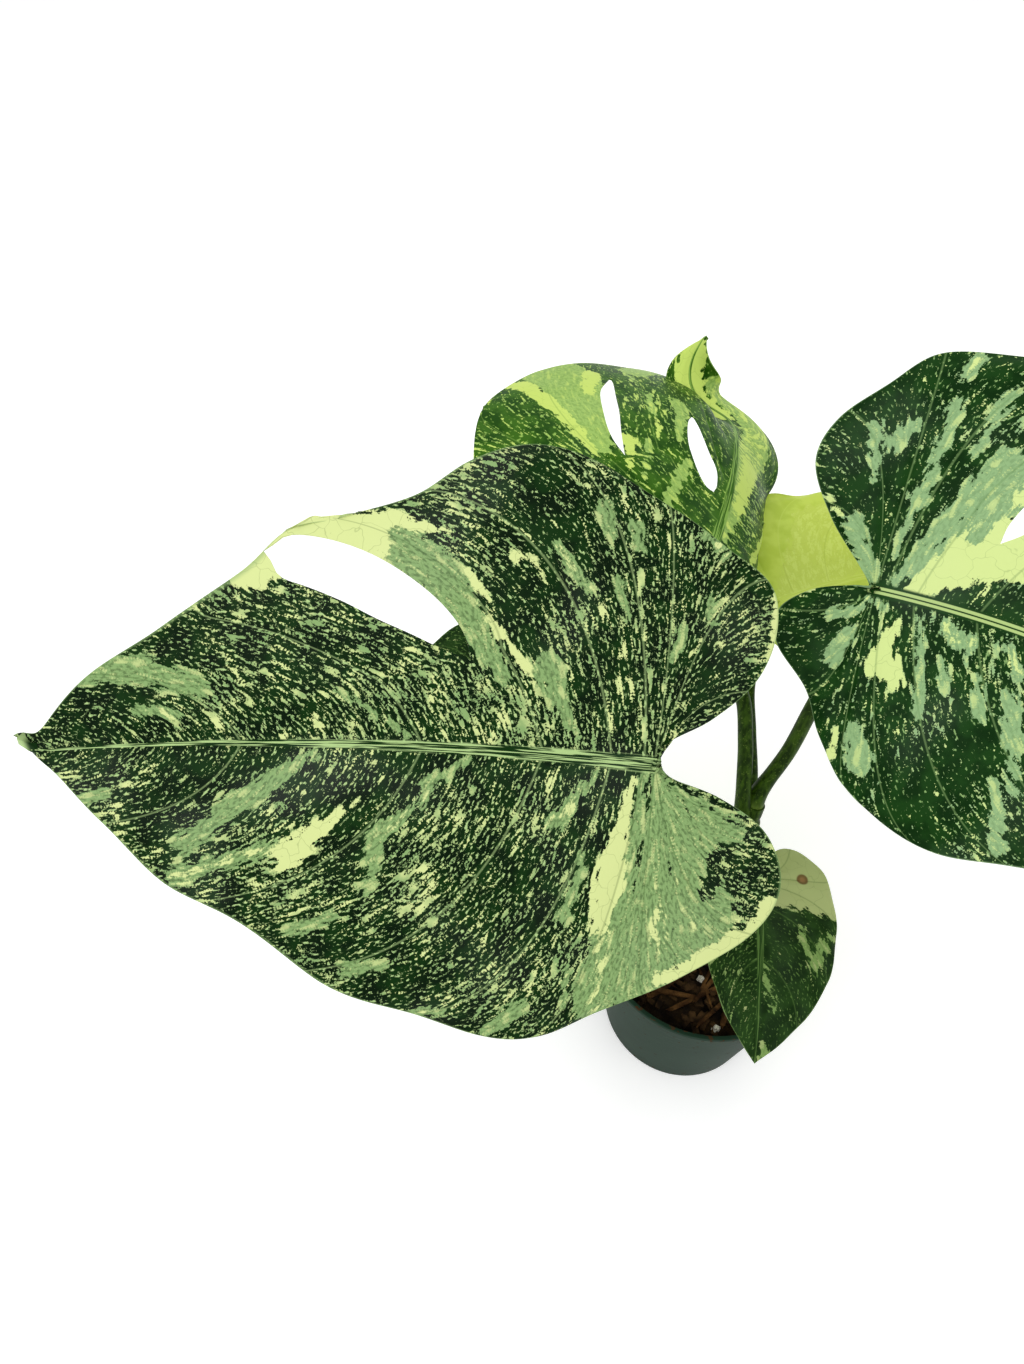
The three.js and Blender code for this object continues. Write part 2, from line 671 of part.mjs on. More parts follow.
function petioleRadius(share) {
  const { baseRadius, sheathShare, lowRadius, topRadius, jointShare, jointSwell, jointLength } = PETIOLE;
  const plain = share < sheathShare
    ? lerp(baseRadius, lowRadius, THREE.MathUtils.smoothstep(share, 0, sheathShare))
    : lerp(lowRadius, topRadius, (share - sheathShare) / (1 - sheathShare));
  return plain + jointSwell * Math.exp(-(((share - jointShare) / jointLength) ** 2));
}

function petioleCurve(leaf, blade) {
  const seat = blade.seat();
  const crownPlace = stemCurve.getPointAt(1).addScaledVector(stemCurve.getTangentAt(1), GAP);
  const crownLater = crownPlace.clone().addScaledVector(stemCurve.getTangentAt(1), 7);
  const route = leaf.petiole.flatMap((point) => (point ? [new THREE.Vector3(...point)]
    : [crownPlace, crownLater]));
  route.push(seat.place.clone().addScaledVector(seat.up, -12), seat.place);
  return new THREE.CatmullRomCurve3(route, false, 'centripetal');
}

function petioleSolid(curve, extra) {
  return manifoldOf(rod(curve, (share) => petioleRadius(share) + extra, PETIOLE.sides, PETIOLE.rings));
}

// The plant put together

const plant = new THREE.Group();

function addPart(name, geometry, colour, roughness) {
  const material = new THREE.MeshStandardMaterial({ color: colour, roughness, metalness: 0 });
  const mesh = new THREE.Mesh(geometry, material);
  mesh.name = name;
  plant.add(mesh);
}

const stemClearance = stemSolid(GAP);

addPart('nursery_pot', geometryFrom(potSolid()), COLOUR.pot, 0.6);
addPart('potting_mix', geometryFrom(mixSolid(stemClearance)), COLOUR.mix, 0.95);
addPart('main_stem', geometryFrom(stemSolid(0)), COLOUR.stem, 0.6);

// Each petiole is cut clear of its blade, of the stem and of the petioles built before it
let taken = stemClearance;
for (const leaf of LEAVES) {
  const blade = new Blade(leaf);
  const sheet = blade.solid();
  const bladeSolid = manifoldOf(sheet);
  const under = bladeSolid.translate(blade.seat().up.clone().multiplyScalar(-GAP).toArray());
  const curve = petioleCurve(leaf, blade);
  let petiole = petioleSolid(curve, 0).subtract(bladeSolid).subtract(under);
  if (leaf.petiole[0]) petiole = petiole.subtract(taken);
  addPart(`blade_${leaf.name}`, sheet, leaf.colour, 0.5);
  addPart(`petiole_${leaf.name}`, geometryFrom(petiole), COLOUR.petiole, 0.55);
  taken = taken.add(petioleSolid(curve, GAP));
}

export default plant;
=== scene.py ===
"""Looks of a potted variegated climbing aroid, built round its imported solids.

Shapes are worked out in millimetres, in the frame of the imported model, and become metres in the
meshes. A leaf is laid out flat first: x runs out from the midrib, positive on the right seen from
above with the tip ahead, and y runs from the junction with the petiole to the tip.
"""

import logging
import math
from dataclasses import dataclass
from enum import Enum
from typing import Callable, Optional, Sequence, Union

import bpy
import numpy as np
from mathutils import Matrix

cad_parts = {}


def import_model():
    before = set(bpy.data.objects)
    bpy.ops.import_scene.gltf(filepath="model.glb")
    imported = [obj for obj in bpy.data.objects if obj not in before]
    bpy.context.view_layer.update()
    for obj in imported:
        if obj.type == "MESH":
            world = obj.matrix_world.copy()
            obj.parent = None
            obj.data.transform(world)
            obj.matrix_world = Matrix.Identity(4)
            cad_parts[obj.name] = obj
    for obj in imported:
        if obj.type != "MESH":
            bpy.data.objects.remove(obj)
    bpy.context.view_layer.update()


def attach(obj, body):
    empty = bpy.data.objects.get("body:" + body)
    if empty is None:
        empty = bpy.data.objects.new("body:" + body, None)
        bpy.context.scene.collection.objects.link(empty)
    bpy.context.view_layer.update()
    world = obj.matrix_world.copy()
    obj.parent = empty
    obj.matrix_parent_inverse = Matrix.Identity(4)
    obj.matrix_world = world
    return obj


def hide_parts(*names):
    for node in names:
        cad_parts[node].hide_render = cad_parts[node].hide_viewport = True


Array = np.ndarray
Triple = tuple[float, float, float]
Point = Triple
Colour = Triple
# A tapering stroke on a flat leaf: x, y and half width of its start, then of its end.
Stroke = tuple[float, float, float, float, float, float]
Pair = tuple[float, float]
Piece = bpy.types.Object
Material = bpy.types.Material
Socket = bpy.types.NodeSocket
Value = Union[float, tuple, Socket]

LOG = logging.getLogger("plant")
MM = 0.001
# Radius of the small rings in which turned outlines end, which are welded to points.
AXIS = 0.01
# The part of a leaf's flat layout that its UV map covers.
SHEET_ORIGIN = (-150.0, -75.0)
SHEET_SIZE = (300.0, 340.0)


class Side(Enum):
    """A half of a leaf, seen from above with the tip ahead."""

    LEFT = -1
    RIGHT = 1

    def pick(self, pair: Sequence[object]) -> object:
        """Choose this half's one of a pair, left first."""
        return pair[self is Side.RIGHT]


class Face(Enum):
    """The two faces of a leaf blade."""

    UPPER = "upper"
    UNDER = "under"


class Tint(Enum):
    """What a patch on a leaf turns the ground to, with how creamy it is."""

    DARK = -1.0
    GREY = 0.0
    PALE = 0.45
    CREAM = 1.0


def srgb(red: float, green: float, blue: float) -> Colour:
    """Turn a colour of 0 to 255 steps into linear light."""
    return tuple((value / 255) ** 2.2 for value in (red, green, blue))


def smoothstep(value: Array, low: float, high: float) -> Array:
    """Rise smoothly from 0 at low to 1 at high."""
    share = np.clip((value - low) / (high - low), 0, 1)
    return share * share * (3 - 2 * share)


def bell(value: Array, width: float) -> Array:
    """Draw a bell of height 1 round 0."""
    return np.exp(-((value / width) ** 2))


def unit(vectors: Array) -> Array:
    """Bring vectors to length 1."""
    return vectors / np.maximum(np.linalg.norm(vectors, axis=-1, keepdims=True), 1e-9)


def between(place: Array, at: Array, rows: Array) -> Array:
    """Read, at a place, rows of values that run straight from each of their places to the next."""
    return np.stack([np.interp(place, at, values) for values in rows.T], -1)


def hermite(t: Array, ends: Sequence[Array], slopes: Sequence[Array]) -> Array:
    """Run smoothly between values at two ends, with the slopes that they have for the whole way."""
    pull = t * (1 - t) * ((1 - t) * slopes[0] - t * slopes[1])
    return ends[0] + (ends[1] - ends[0]) * smoothstep(t, 0, 1) + pull


def through(stations: Sequence[Sequence[float]], place: Array) -> Array:
    """Read a smooth curve through stations.

    Args:
        stations: Rows whose first entry is the place and whose others are the values there.
        place: Where to read the curve.

    Returns:
        The values, in a last axis of their own.
    """
    table = np.asarray(stations, float)
    at, values = table[:, 0], table[:, 1:]
    slopes = np.empty_like(values)
    slopes[1:-1] = (values[2:] - values[:-2]) / (at[2:] - at[:-2])[:, None]
    slopes[0] = (values[1] - values[0]) / (at[1] - at[0])
    slopes[-1] = (values[-1] - values[-2]) / (at[-1] - at[-2])
    where = np.clip(np.asarray(place, float), at[0], at[-1])
    low = np.clip(np.searchsorted(at, where, side="right") - 1, 0, len(at) - 2)
    step = (at[low + 1] - at[low])[..., None]
    t = (where - at[low])[..., None] / step
    return hermite(t, (values[low], values[low + 1]), (slopes[low] * step, slopes[low + 1] * step))


class Rail:
    """The midrib as a rail: place, direction, right hand side and upper side along it."""

    LOBE_BEND = math.radians(20) / 100
    SAMPLES = 400

    def __init__(self, junction: Point, length: float, stations: Sequence[Sequence[float]]) -> None:
        """Run the rail from the junction.

        Args:
            junction: Where it starts.
            length: Its length.
            stations: Share of the length, heading, slope and roll in degrees.
        """
        self.length = length
        share = np.linspace(0, 1, self.SAMPLES + 1)
        heading, slope, roll = np.radians(through(stations, share)).T
        along = np.stack(
            [np.cos(heading) * np.cos(slope), np.sin(heading) * np.cos(slope), np.sin(slope)], 1
        )
        level = np.stack([np.sin(heading), -np.cos(heading), np.zeros_like(share)], 1)
        above = np.cross(level, along)
        turn, lift = np.cos(roll)[:, None], np.sin(roll)[:, None]
        self.along = along
        self.right = level * turn - above * lift
        self.up = above * turn + level * lift
        steps = (along[1:] + along[:-1]) / 2 * (length / self.SAMPLES)
        self.place = np.array(junction) + np.vstack([np.zeros(3), np.cumsum(steps, 0)])
        self.distance = share * length

    def at(self, distance: Array) -> tuple[Array, Array, Array, Array]:
        """Read the rail, which bends up behind its start and runs straight on past its end.

        Args:
            distance: Distances along it.

        Returns:
            Place, direction, right hand side and upper side, each with a last axis of three.
        """
        within = np.clip(distance, 0, self.length)
        place, along, right, up = (
            between(within, self.distance, rows)
            for rows in (self.place, self.along, self.right, self.up)
        )
        place = place + along * np.maximum(distance - self.length, 0)[..., None]
        angle = (np.maximum(-distance, 0) * self.LOBE_BEND)[..., None]
        place = place - (np.sin(angle) * along + (1 - np.cos(angle)) * up) / self.LOBE_BEND
        bent_along = along * np.cos(angle) + up * np.sin(angle)
        bent_up = up * np.cos(angle) - along * np.sin(angle)
        return place, bent_along, right, bent_up


@dataclass(frozen=True)
class Hole:
    """A slit or hole in a blade, opened between two side veins."""

    side: Side  # The half of the leaf that it is in
    at: float  # The column that it follows, as a share of the margin
    span: float  # How far its pull reaches to the columns beside it
    shape: tuple[Triple, ...]  # Share of the vein, width and shift towards the tip


@dataclass(frozen=True)
class LeafShape:
    """Sizes of one leaf."""

    name: str  # The leaf's name, as in its nodes
    junction: Point  # Where blade and petiole meet
    length: float  # Length of the midrib's rail
    # Share, heading, slope and roll of the midrib.
    rail: tuple[tuple[float, float, float, float], ...]
    left: tuple[Pair, ...] = ()  # Flat margin of the left half, or none for a plain heart
    right: tuple[Pair, ...] = ()  # Flat margin of the right half, or none for a plain heart
    heart: Triple = (0, 0, 0)  # Left width, right width and lobe of a plain heart
    # The rail of the finished, curled leaf.
    curled: tuple[tuple[float, float, float, float], ...] = ()
    rise: Pair = (8, 8)  # How steeply each half leaves the midrib, in degrees
    curl: Pair = (20, 20)  # How fast each half bends down, in degrees for each 100 mm
    foot: Pair = (0.25, 3)  # Share of the margin where the veins leave the junction, and a power
    arch: Pair = (0.9, 0.25)  # How the side veins bow
    left_shares: tuple[Pair, ...] = ((0, 0), (1, 1))  # Column against share of the left margin
    holes: tuple[Hole, ...] = ()  # Slits and holes
    drip: Pair = (0, 1)  # Sideways bend and length of the tip
    petiole: tuple[Point, ...] = ()  # Route of the petiole
    from_crown: bool = False  # Whether the petiole starts at the stem's end
    grid: tuple[int, int] = (240, 72)  # Columns for each half and rows
    side_veins: int = 9  # Main side veins in each half
    relief: float = 1.0  # How far the blade rises between its side veins
    # Strokes of colour, later ones over earlier ones: a tint, then each stroke.
    patches: tuple[tuple[Union[Tint, Stroke], ...], ...] = ()


HEART = (
    (0, 0), (0.06, -0.35), (0.16, -0.8), (0.34, -1), (0.62, -0.9), (0.84, -0.45), (0.96, 0.04),
    (1, 0.2), (0.98, 0.36), (0.88, 0.54), (0.66, 0.71), (0.36, 0.86), (0.13, 0.95), (0, 1),
)

FRONT_LEFT = LeafShape(
    name="front_left",
    junction=(-59.9, -35.1, 344.2),
    length=245,
    rail=((0, 180.5, 12, -41), (0.5, 177.6, -1.4, -40.7), (1, 174.7, -14.8, -41)),
    left=((0, 0), (-5, -8), (-10, -28), (-22, -49), (-43, -58), (-63, -49), (-80, -22), (-97, 8),
          (-109, 32), (-110, 58), (-102, 90), (-90, 126), (-66, 160), (-51, 190), (-29, 213),
          (-8, 234), (0, 252)),
    right=((0, 0), (9, -3), (20, -20), (36, -35), (57, -41), (75, -37), (87, -15), (100, 10),
           (113, 34), (116, 55), (108, 76), (93, 95), (84, 118), (79, 138), (63, 155), (44, 184),
           (28, 214), (8, 238), (0, 252)),
    holes=(
        Hole(Side.RIGHT, 0.7, 0.2, (
            (0.3, 0, 0), (0.36, 8, 0.5), (0.45, 14, 1.5), (0.6, 19, 2.6), (0.75, 20, 1.9),
            (0.88, 18.5, 1.2), (0.94, 16, 1), (0.97, 10, 0.5), (0.988, 0, 0))),
    ),
    drip=(7, 20),
    petiole=((3.2, 9.5, 140), (-14, 4, 186), (-42, -8, 262), (-61, -21, 318)),
    patches=(
        # The pale sector from the junction to the lower left lobe, with its cream wedge.
        (Tint.GREY, (-5, 4, 2, -92, 12, 10), (-5, -2, 3, -84, -6, 14), (-8, -6, 4, -66, -30, 16),
         (-8, -12, 3, -24, -30, 9)),
        (Tint.CREAM, (-6, 8, 1, -46, 14, 6), (-46, 14, 6, -62, 15, 4)),
        (Tint.PALE, (-66, 14, 4, -96, 12, 3)),
        (Tint.CREAM, (-82, -14, 3, -66, -42, 5), (-66, -42, 5, -52, -54, 5)),
        (Tint.PALE, (-30, -4, 1, -66, -10, 5), (-40, -12, 1, -58, -24, 3)),
        (Tint.DARK, (-46, -26, 3, -32, -31, 6), (-57, -44, 4, -42, -46, 6),
         (-42, -44, 5, -24, -46, 5), (-6, -8, 1, -15, -38, 3)),
        # Streaks of the left half, from the lobe to the tip.
        (Tint.GREY, (-60, 30, 3, -36, 24, 2)),
        (Tint.PALE, (-94, 24, 2, -80, 26, 2), (-6, 23, 1, -24, 36, 4)),
        (Tint.GREY, (-108, 56, 3, -97, 44, 4)),
        (Tint.PALE, (-101, 76, 2, -103, 88, 2)),
        (Tint.GREY, (-4, 70, 1, -14, 86, 3)),
        (Tint.PALE, (-18, 84, 1, -34, 104, 4)),
        (Tint.GREY, (-34, 104, 4, -54, 106, 2), (-83, 100, 2, -85, 116, 3),
         (-64, 120, 2, -70, 137, 3)),
        (Tint.CREAM, (-21, 112, 1, -42, 138, 6)),
        (Tint.PALE, (-38, 142, 3, -50, 184, 4)),
        (Tint.GREY, (-3, 126, 1, -16, 147, 5), (-16, 147, 5, -38, 180, 4),
         (-17, 210, 2, -20, 221, 3)),
        # The right half, from the tip to the finger.
        (Tint.GREY, (21, 170, 4, 30, 196, 6), (30, 196, 6, 27, 218, 3)),
        (Tint.PALE, (11, 176, 2, 13, 194, 3)),
        (Tint.GREY, (4, 93, 1, 20, 120, 1), (28, 60, 3, 60, 82, 7), (60, 82, 8, 78, 102, 9)),
        (Tint.CREAM, (42, 62, 2, 66, 74, 1), (78, 82, 1, 84, 102, 3), (76, 114, 12, 80, 134, 12),
         (80, 134, 12, 68, 150, 12)),
        # The right half beside the finger, and its lobe.
        (Tint.GREY, (11, 34, 2, 32, 45, 6)),
        (Tint.CREAM, (27, 50, 1, 37, 57, 2)),
        (Tint.PALE, (62, 32, 1, 77, 45, 3)),
        (Tint.CREAM, (68, 50, 1, 72, 58, 2)),
        (Tint.GREY, (84, 26, 2, 95, 30, 3), (80, 15, 2, 88, 18, 3), (54, 18, 1, 66, 22, 3),
         (40, 0, 1, 51, -3, 3)),
        (Tint.PALE, (84, -16, 3, 88, -10, 3)),
        (Tint.GREY, (56, -14, 2, 64, -12, 3)),
        (Tint.CREAM, (46, -39, 1, 70, -42, 3)),
    ),
)

BACK_LEFT = LeafShape(
    name="back_left",
    junction=(-26.1, 74.4, 342.9),
    length=235,
    rail=((0, 66.9, 5.5, 27), (0.5, 80.7, -16.4, 23.5), (1, 95.6, -38.6, 24)),
    curled=((0, 66.9, 5.5, 27), (0.25, 73.9, -5.3, 26), (0.5, 80.7, -16.4, 24), (0.6, 92, -18, 9),
            (0.7, 140, 12, -4), (0.78, 100, 40, -10), (0.86, 30, 60, -10), (0.94, -60, 66, 0),
            (1, -80, 56, 0)),
    left=((0, 0), (-4, -8), (-14, -33), (-38, -54), (-70, -52), (-98, -36), (-117, -8), (-127, 28),
          (-126, 60), (-116, 94), (-98, 122), (-80, 148), (-60, 170), (-42, 176), (-27, 170),
          (-17, 156), (-9, 141), (-11, 152), (-16, 168), (-14, 186), (-6, 200), (0, 210)),
    right=((0, 0), (4, -8), (14, -30), (32, -44), (48, -36), (46, -15), (46, 15), (45, 50),
           (44, 80), (44, 108), (43, 130), (38, 148), (31, 165), (20, 184), (8, 202), (0, 210)),
    rise=(9, -10),
    curl=(32, 110),
    foot=(0.3, 2),
    arch=(1, 0.1),
    left_shares=((0, 0), (0.3, 0.366), (0.55, 0.7), (0.64, 0.79), (0.8, 0.837), (0.835, 0.874),
                 (0.86, 0.9), (1, 1)),
    holes=(
        Hole(Side.LEFT, 0.513, 0.12, (
            (0.34, 0, -13), (0.42, 6, -10), (0.55, 9, -4), (0.68, 8, 0), (0.78, 3, 4),
            (0.82, 0, 5))),
        Hole(Side.LEFT, 0.618, 0.08, (
            (0.1, 0, -3), (0.14, 9, -2), (0.26, 15, 0), (0.4, 13, 0), (0.55, 7, 1),
            (0.62, 0, 2))),
    ),
    petiole=((10, 23.5, 203), (7.2, 29.6, 224), (5.2, 43, 250), (1, 55, 272), (-8, 62, 283),
             (-23, 70, 303)),
    grid=(220, 60),
    patches=(
        # The pale sector left of the first hole, edged with yellow.
        (Tint.GREY, (-70, 32, 8, -100, 90, 20), (-90, 80, 18, -104, 112, 14)),
        (Tint.CREAM, (-70, 24, 2, -118, 72, 7), (-84, 76, 3, -86, 108, 5)),
        # Streaks between the two holes, and the pale zone beside the second.
        (Tint.GREY, (-64, 138, 8, -52, 172, 9)),
        (Tint.CREAM, (-51, 22, 1, -57, 44, 4)),
        (Tint.PALE, (-44, 24, 1, -48, 50, 2), (-50, 80, 2, -54, 100, 3)),
        (Tint.CREAM, (-44, 58, 1, -46, 74, 1)),
        (Tint.GREY, (-30, 12, 3, -27, 50, 3), (-34, 66, 2, -37, 108, 5)),
        (Tint.PALE, (-60, 108, 1, -66, 126, 2)),
        # The yellow green band right of the midrib, the dark one left of it, the pale margin.
        (Tint.PALE, (4, 22, 3, 11, 110, 10)),
        (Tint.CREAM, (9, 50, 3, 13, 116, 6)),
        (Tint.DARK, (-10, 50, 7, -9, 134, 6)),
        # The curled end: cream along the midrib, green outside, a dark crescent on the left.
        (Tint.PALE, (14, 112, 10, 20, 176, 12)),
        (Tint.CREAM, (-2, 154, 8, 0, 200, 8)),
        (Tint.DARK, (-15, 146, 4, -17, 172, 4)),
        (Tint.CREAM, (30, 32, 3, 44, 76, 5)),
        (Tint.DARK, (16, 40, 3, 30, 110, 6)),
    ),
)

FRONT_RIGHT = LeafShape(
    name="front_right",
    junction=(39, 44.6, 357.3),
    length=230,
    rail=((0, 331.5, 9, 38), (0.5, 328.2, -7.5, 38), (1, 324.7, -24, 37)),
    left=((0, 0), (-9, -9), (-27, -26), (-50, -39), (-72, -35), (-90, -19), (-106, -3), (-111, 22),
          (-111, 52), (-102, 88), (-86, 124), (-62, 162), (-36, 194), (-12, 219), (0, 236)),
    right=((0, 0), (1, -12), (6, -26), (17, -36), (32, -32), (48, -15), (66, -4), (82, 12),
           (93, 38), (95, 64), (88, 92), (76, 124), (58, 158), (36, 190), (13, 217), (0, 236)),
    holes=(
        Hole(Side.LEFT, 0.62, 0.16, (
            (0.2, 0, 0), (0.25, 6, 0), (0.35, 11, 0), (0.5, 14, 0), (0.75, 14, 0), (1, 9, 0))),
    ),
    petiole=((26.5, 37.5, 248), (32.4, 43, 279), (43.5, 53, 327)),
    from_crown=True,
    patches=(
        # The cream sector beside the midrib, and its grey green lower side.
        (Tint.GREY, (-10, 12, 3, -62, 44, 9)),
        (Tint.CREAM, (-4, 14, 4, -26, 36, 12), (-26, 36, 12, -48, 84, 20)),
        (Tint.PALE, (-50, 84, 16, -70, 130, 14)),
        (Tint.CREAM, (-50, 38, 4, -92, 60, 12)),
        (Tint.GREY, (-5, 7, 2, -62, 31, 7), (-30, 30, 3, -66, 36, 3)),
        (Tint.DARK, (-12, 60, 4, -30, 110, 7)),
        # Patches of the upper lobe.
        (Tint.GREY, (-38, 7, 2, -84, 8, 3), (-16, 4, 1, -44, 4, 2)),
        (Tint.PALE, (-97, 8, 2, -107, 10, 3)),
        (Tint.GREY, (-62, 19, 1, -92, 24, 3), (-62, -10, 4, -72, -4, 3),
         (-46, -13, 2, -70, -19, 3), (-6, -4, 4, -26, -16, 4)),
        (Tint.CREAM, (-34, -28, 1, -29, -22, 1)),
        #         The lower half: a cream blotch on a grey green vein, whose grey is partly the
        #             vein's own pale line and partly painted sheen, and scattered patches.
        (Tint.GREY, (6, 20, 1, 44, 33, 3)),
        (Tint.CREAM, (12, 12, 2, 30, 11, 6), (30, 14, 6, 36, 20, 3)),
        (Tint.PALE, (6, 27, 2, 12, 40, 5)),
        (Tint.GREY, (21, 34, 1, 32, 38, 3), (58, 8, 3, 70, 16, 7)),
        (Tint.CREAM, (62, 2, 1, 72, 3, 2)),
        (Tint.GREY, (20, -4, 3, 32, -8, 4), (9, -3, 2, 14, -13, 3)),
        (Tint.PALE, (4, -2, 1, 6, 5, 2)),
        (Tint.GREY, (24, 50, 2, 37, 55, 4), (26, 63, 3, 41, 72, 5)),
        (Tint.PALE, (8, 56, 2, 17, 62, 3)),
        (Tint.GREY, (44, 72, 2, 60, 81, 3), (60, 72, 2, 82, 86, 4), (20, 96, 3, 44, 128, 5)),
        (Tint.PALE, (10, 130, 2, 24, 170, 4)),
    ),
)

YELLOW = LeafShape(
    name="yellow",
    junction=(31, 120, 270),
    length=152,
    rail=((0, 27, 2, 4), (0.5, 22, -14, 6), (1, 15, -32, 10)),
    heart=(72, 62, 0.12),
    petiole=((9, 22, 192), (14.5, 38, 210), (14, 62, 231), (14, 82, 245), (20, 101, 254)),
    grid=(110, 46),
    side_veins=7,
    relief=2.4,
    patches=(
        (Tint.PALE, (2, 4, 6, -30, 60, 26), (6, 8, 6, 30, 40, 16)),
    ),
)

BACK_LOW = LeafShape(
    name="back_low",
    junction=(-72, 84, 228),
    length=118,
    rail=((0, 160, 6, -12), (0.5, 166, -8, -10), (1, 172, -26, -8)),
    heart=(46, 52, 0.22),
    petiole=((2.8, 8.5, 134), (-14, 30, 172), (-48, 66, 206), (-68, 83, 214)),
    grid=(90, 38),
    side_veins=7,
)

SMALL_FRONT = LeafShape(
    name="small_front",
    junction=(15, -7.6, 199.5),
    length=92,
    rail=((0, -99, 2, -4), (0.5, -99, -12, -3), (1, -98, -30, 0)),
    heart=(37, 29, 0.2),
    petiole=((2.2, 7.5, 124), (10, -5, 146), (14, -8, 172)),
    grid=(90, 38),
    side_veins=6,
    patches=(
        (Tint.CREAM, (-38, 0, 18, -4, -3, 18), (4, -3, 17, 34, 2, 18)),
        (Tint.GREY, (-1, 46, 1, -8, 66, 2), (-5, 83, 1, -4, 89, 2), (-33, 28, 2, -26, 42, 3),
         (-20, 26, 1, -22, 37, 2), (22, 32, 2, 26, 48, 2)),
    ),
)


class BladeForm:
    """Works out a blade's places: flat along its veins first, then bent along its midrib."""

    SAMPLES = 800
    STEP = 1e-3
    # Distances out between which a curled half goes over to the rail at its veins' feet.
    CARRIED = (10, 30)

    def __init__(self, shape: LeafShape) -> None:
        """Measure the margins and run the rails.

        Args:
            shape: The leaf's sizes.
        """
        self.shape = shape
        self.rail = Rail(shape.junction, shape.length, shape.rail)
        self.curled = Rail(shape.junction, shape.length, shape.curled) if shape.curled else None
        self.margins = {side: self._measured(side) for side in Side}
        self.tip = float(self.margins[Side.RIGHT][-1, 2])

    def _margin(self, side: Side) -> Array:
        """List a half's margin points, of a plain heart where it has none of its own.

        Args:
            side: The half.

        Returns:
            x and y in rows.
        """
        shape = self.shape
        if shape.left:
            return np.array(side.pick((shape.left, shape.right)), float)
        out, along = np.array(HEART, float).T
        along = along * shape.length * np.where(along < 0, shape.heart[2], 1)
        return np.stack([out * side.pick(shape.heart) * side.value, along], 1)

    def _measured(self, side: Side) -> Array:
        """Run a half's margin from the junction to the tip.

        Args:
            side: The half.

        Returns:
            Share of the run, x and y in rows.
        """
        points = self._margin(side)
        stations = np.column_stack([np.arange(len(points)), points])
        line = through(stations, np.linspace(0, len(points) - 1, self.SAMPLES + 1))
        run = np.concatenate([[0], np.cumsum(np.hypot(*np.diff(line, axis=0).T))])
        return np.column_stack([run / run[-1], line])

    def margin_at(self, side: Side, column: Array) -> tuple[Array, Array]:
        """Find the margin's flat place at a column.

        Args:
            side: The half.
            column: Share of the margin.

        Returns:
            x and y.
        """
        if side is Side.LEFT:
            keys = np.array(self.shape.left_shares, float)
            column = np.interp(column, keys[:, 0], keys[:, 1])
        share, x, y = self.margins[side].T
        return np.interp(column, share, x), np.interp(column, share, y)

    def foot_at(self, column: Array) -> Array:
        """Find how far along the midrib a column's vein leaves it."""
        start, power = self.shape.foot
        return self.tip * np.clip((column - start) / (1 - start), 0, 1) ** power

    def vein(self, side: Side, column: Array, t: Array) -> tuple[Array, Array]:
        """Find a flat place along a side vein.

        Args:
            side: The half.
            column: The vein's column.
            t: Share of the vein, from the midrib to the margin.

        Returns:
            x and y.
        """
        x, y = self.margin_at(side, column)
        foot = self.foot_at(column)
        out, forward = self.shape.arch
        middle = foot + forward * (y - foot)
        bow = 2 * t * (1 - t)
        return bow * out * x + t * t * x, (1 - t) ** 2 * foot + bow * middle + t * t * y

    def flat(self, side: Side, column: Array, t: Array, edge: Array) -> tuple[Array, Array]:
        """Find a flat place with the holes opened.

        Args:
            side: The half.
            column: The vein's column.
            t: Share of the vein.
            edge: -1 or 1 on the two edges of a hole, 0 elsewhere.

        Returns:
            x and y.
        """
        x, y = self.vein(side, column, t)
        later = np.minimum(t + self.STEP, 1)
        ax, ay = self.vein(side, column, later - 2 * self.STEP)
        bx, by = self.vein(side, column, later)
        out, ahead = np.moveaxis(unit(np.stack([bx - ax, by - ay], -1)), -1, 0)
        for hole in self.shape.holes:
            if hole.side is not side:
                continue
            values = through(hole.shape, t)
            inside = (t > hole.shape[0][0]) & (t <= hole.shape[-1][0])
            offset = column - hole.at
            away = np.where(np.abs(offset) < 1e-9, edge, np.sign(offset))
            fall = np.clip(1 - np.abs(offset) / hole.span, 0, 1) ** 2
            width = np.maximum(values[..., 0], 0)
            move = side.value * fall * (away * width / 2 + values[..., 1]) * inside
            x = x - ahead * move
            y = y + out * move
        return side.value * np.maximum(side.value * x, 0), y

    def bent(self, side: Side, x: Array, y: Array, foot: Array) -> Array:
        """Bend flat places along the midrib and across it.

        Args:
            side: The half that they are in.
            x: Distance out from the midrib.
            y: Distance along it.
            foot: Where each place's vein leaves the midrib.

        Returns:
            Places in the model's frame.
        """
        shape = self.shape
        start = math.radians(side.pick(shape.rise))
        rate = math.radians(side.pick(shape.curl)) / 100
        end = start - rate * np.abs(x)
        aside, length = shape.drip
        out = side.value * (math.sin(start) - np.sin(end)) / rate
        out = out + aside * smoothstep(y, self.tip - length, self.tip) ** 2
        up = (np.cos(end) - math.cos(start)) / rate
        base, _, right, above = self.rail.at(y)
        place = base + right * out[..., None] + above * up[..., None]
        if self.curled is None:
            return place
        carrier = np.minimum(y, shape.length)
        if side is Side.LEFT:
            near = smoothstep(np.abs(x), *self.CARRIED)
            carrier = carrier * (1 - near) + foot * near
        origin, *before = self.rail.at(carrier)
        target, *after = self.curled.at(carrier)
        away = place - origin
        return target + sum(
            np.sum(away * old, -1, keepdims=True) * new for old, new in zip(before, after)
        )


def deselect() -> None:
    """Leave nothing selected, in object mode."""
    if bpy.context.mode != "OBJECT":
        bpy.ops.object.mode_set(mode="OBJECT")
    bpy.ops.object.select_all(action="DESELECT")


def only(piece: Piece) -> None:
    """Select one piece and make it active.

    Args:
        piece: The piece.
    """
    deselect()
    piece.select_set(True)
    bpy.context.view_layer.objects.active = piece


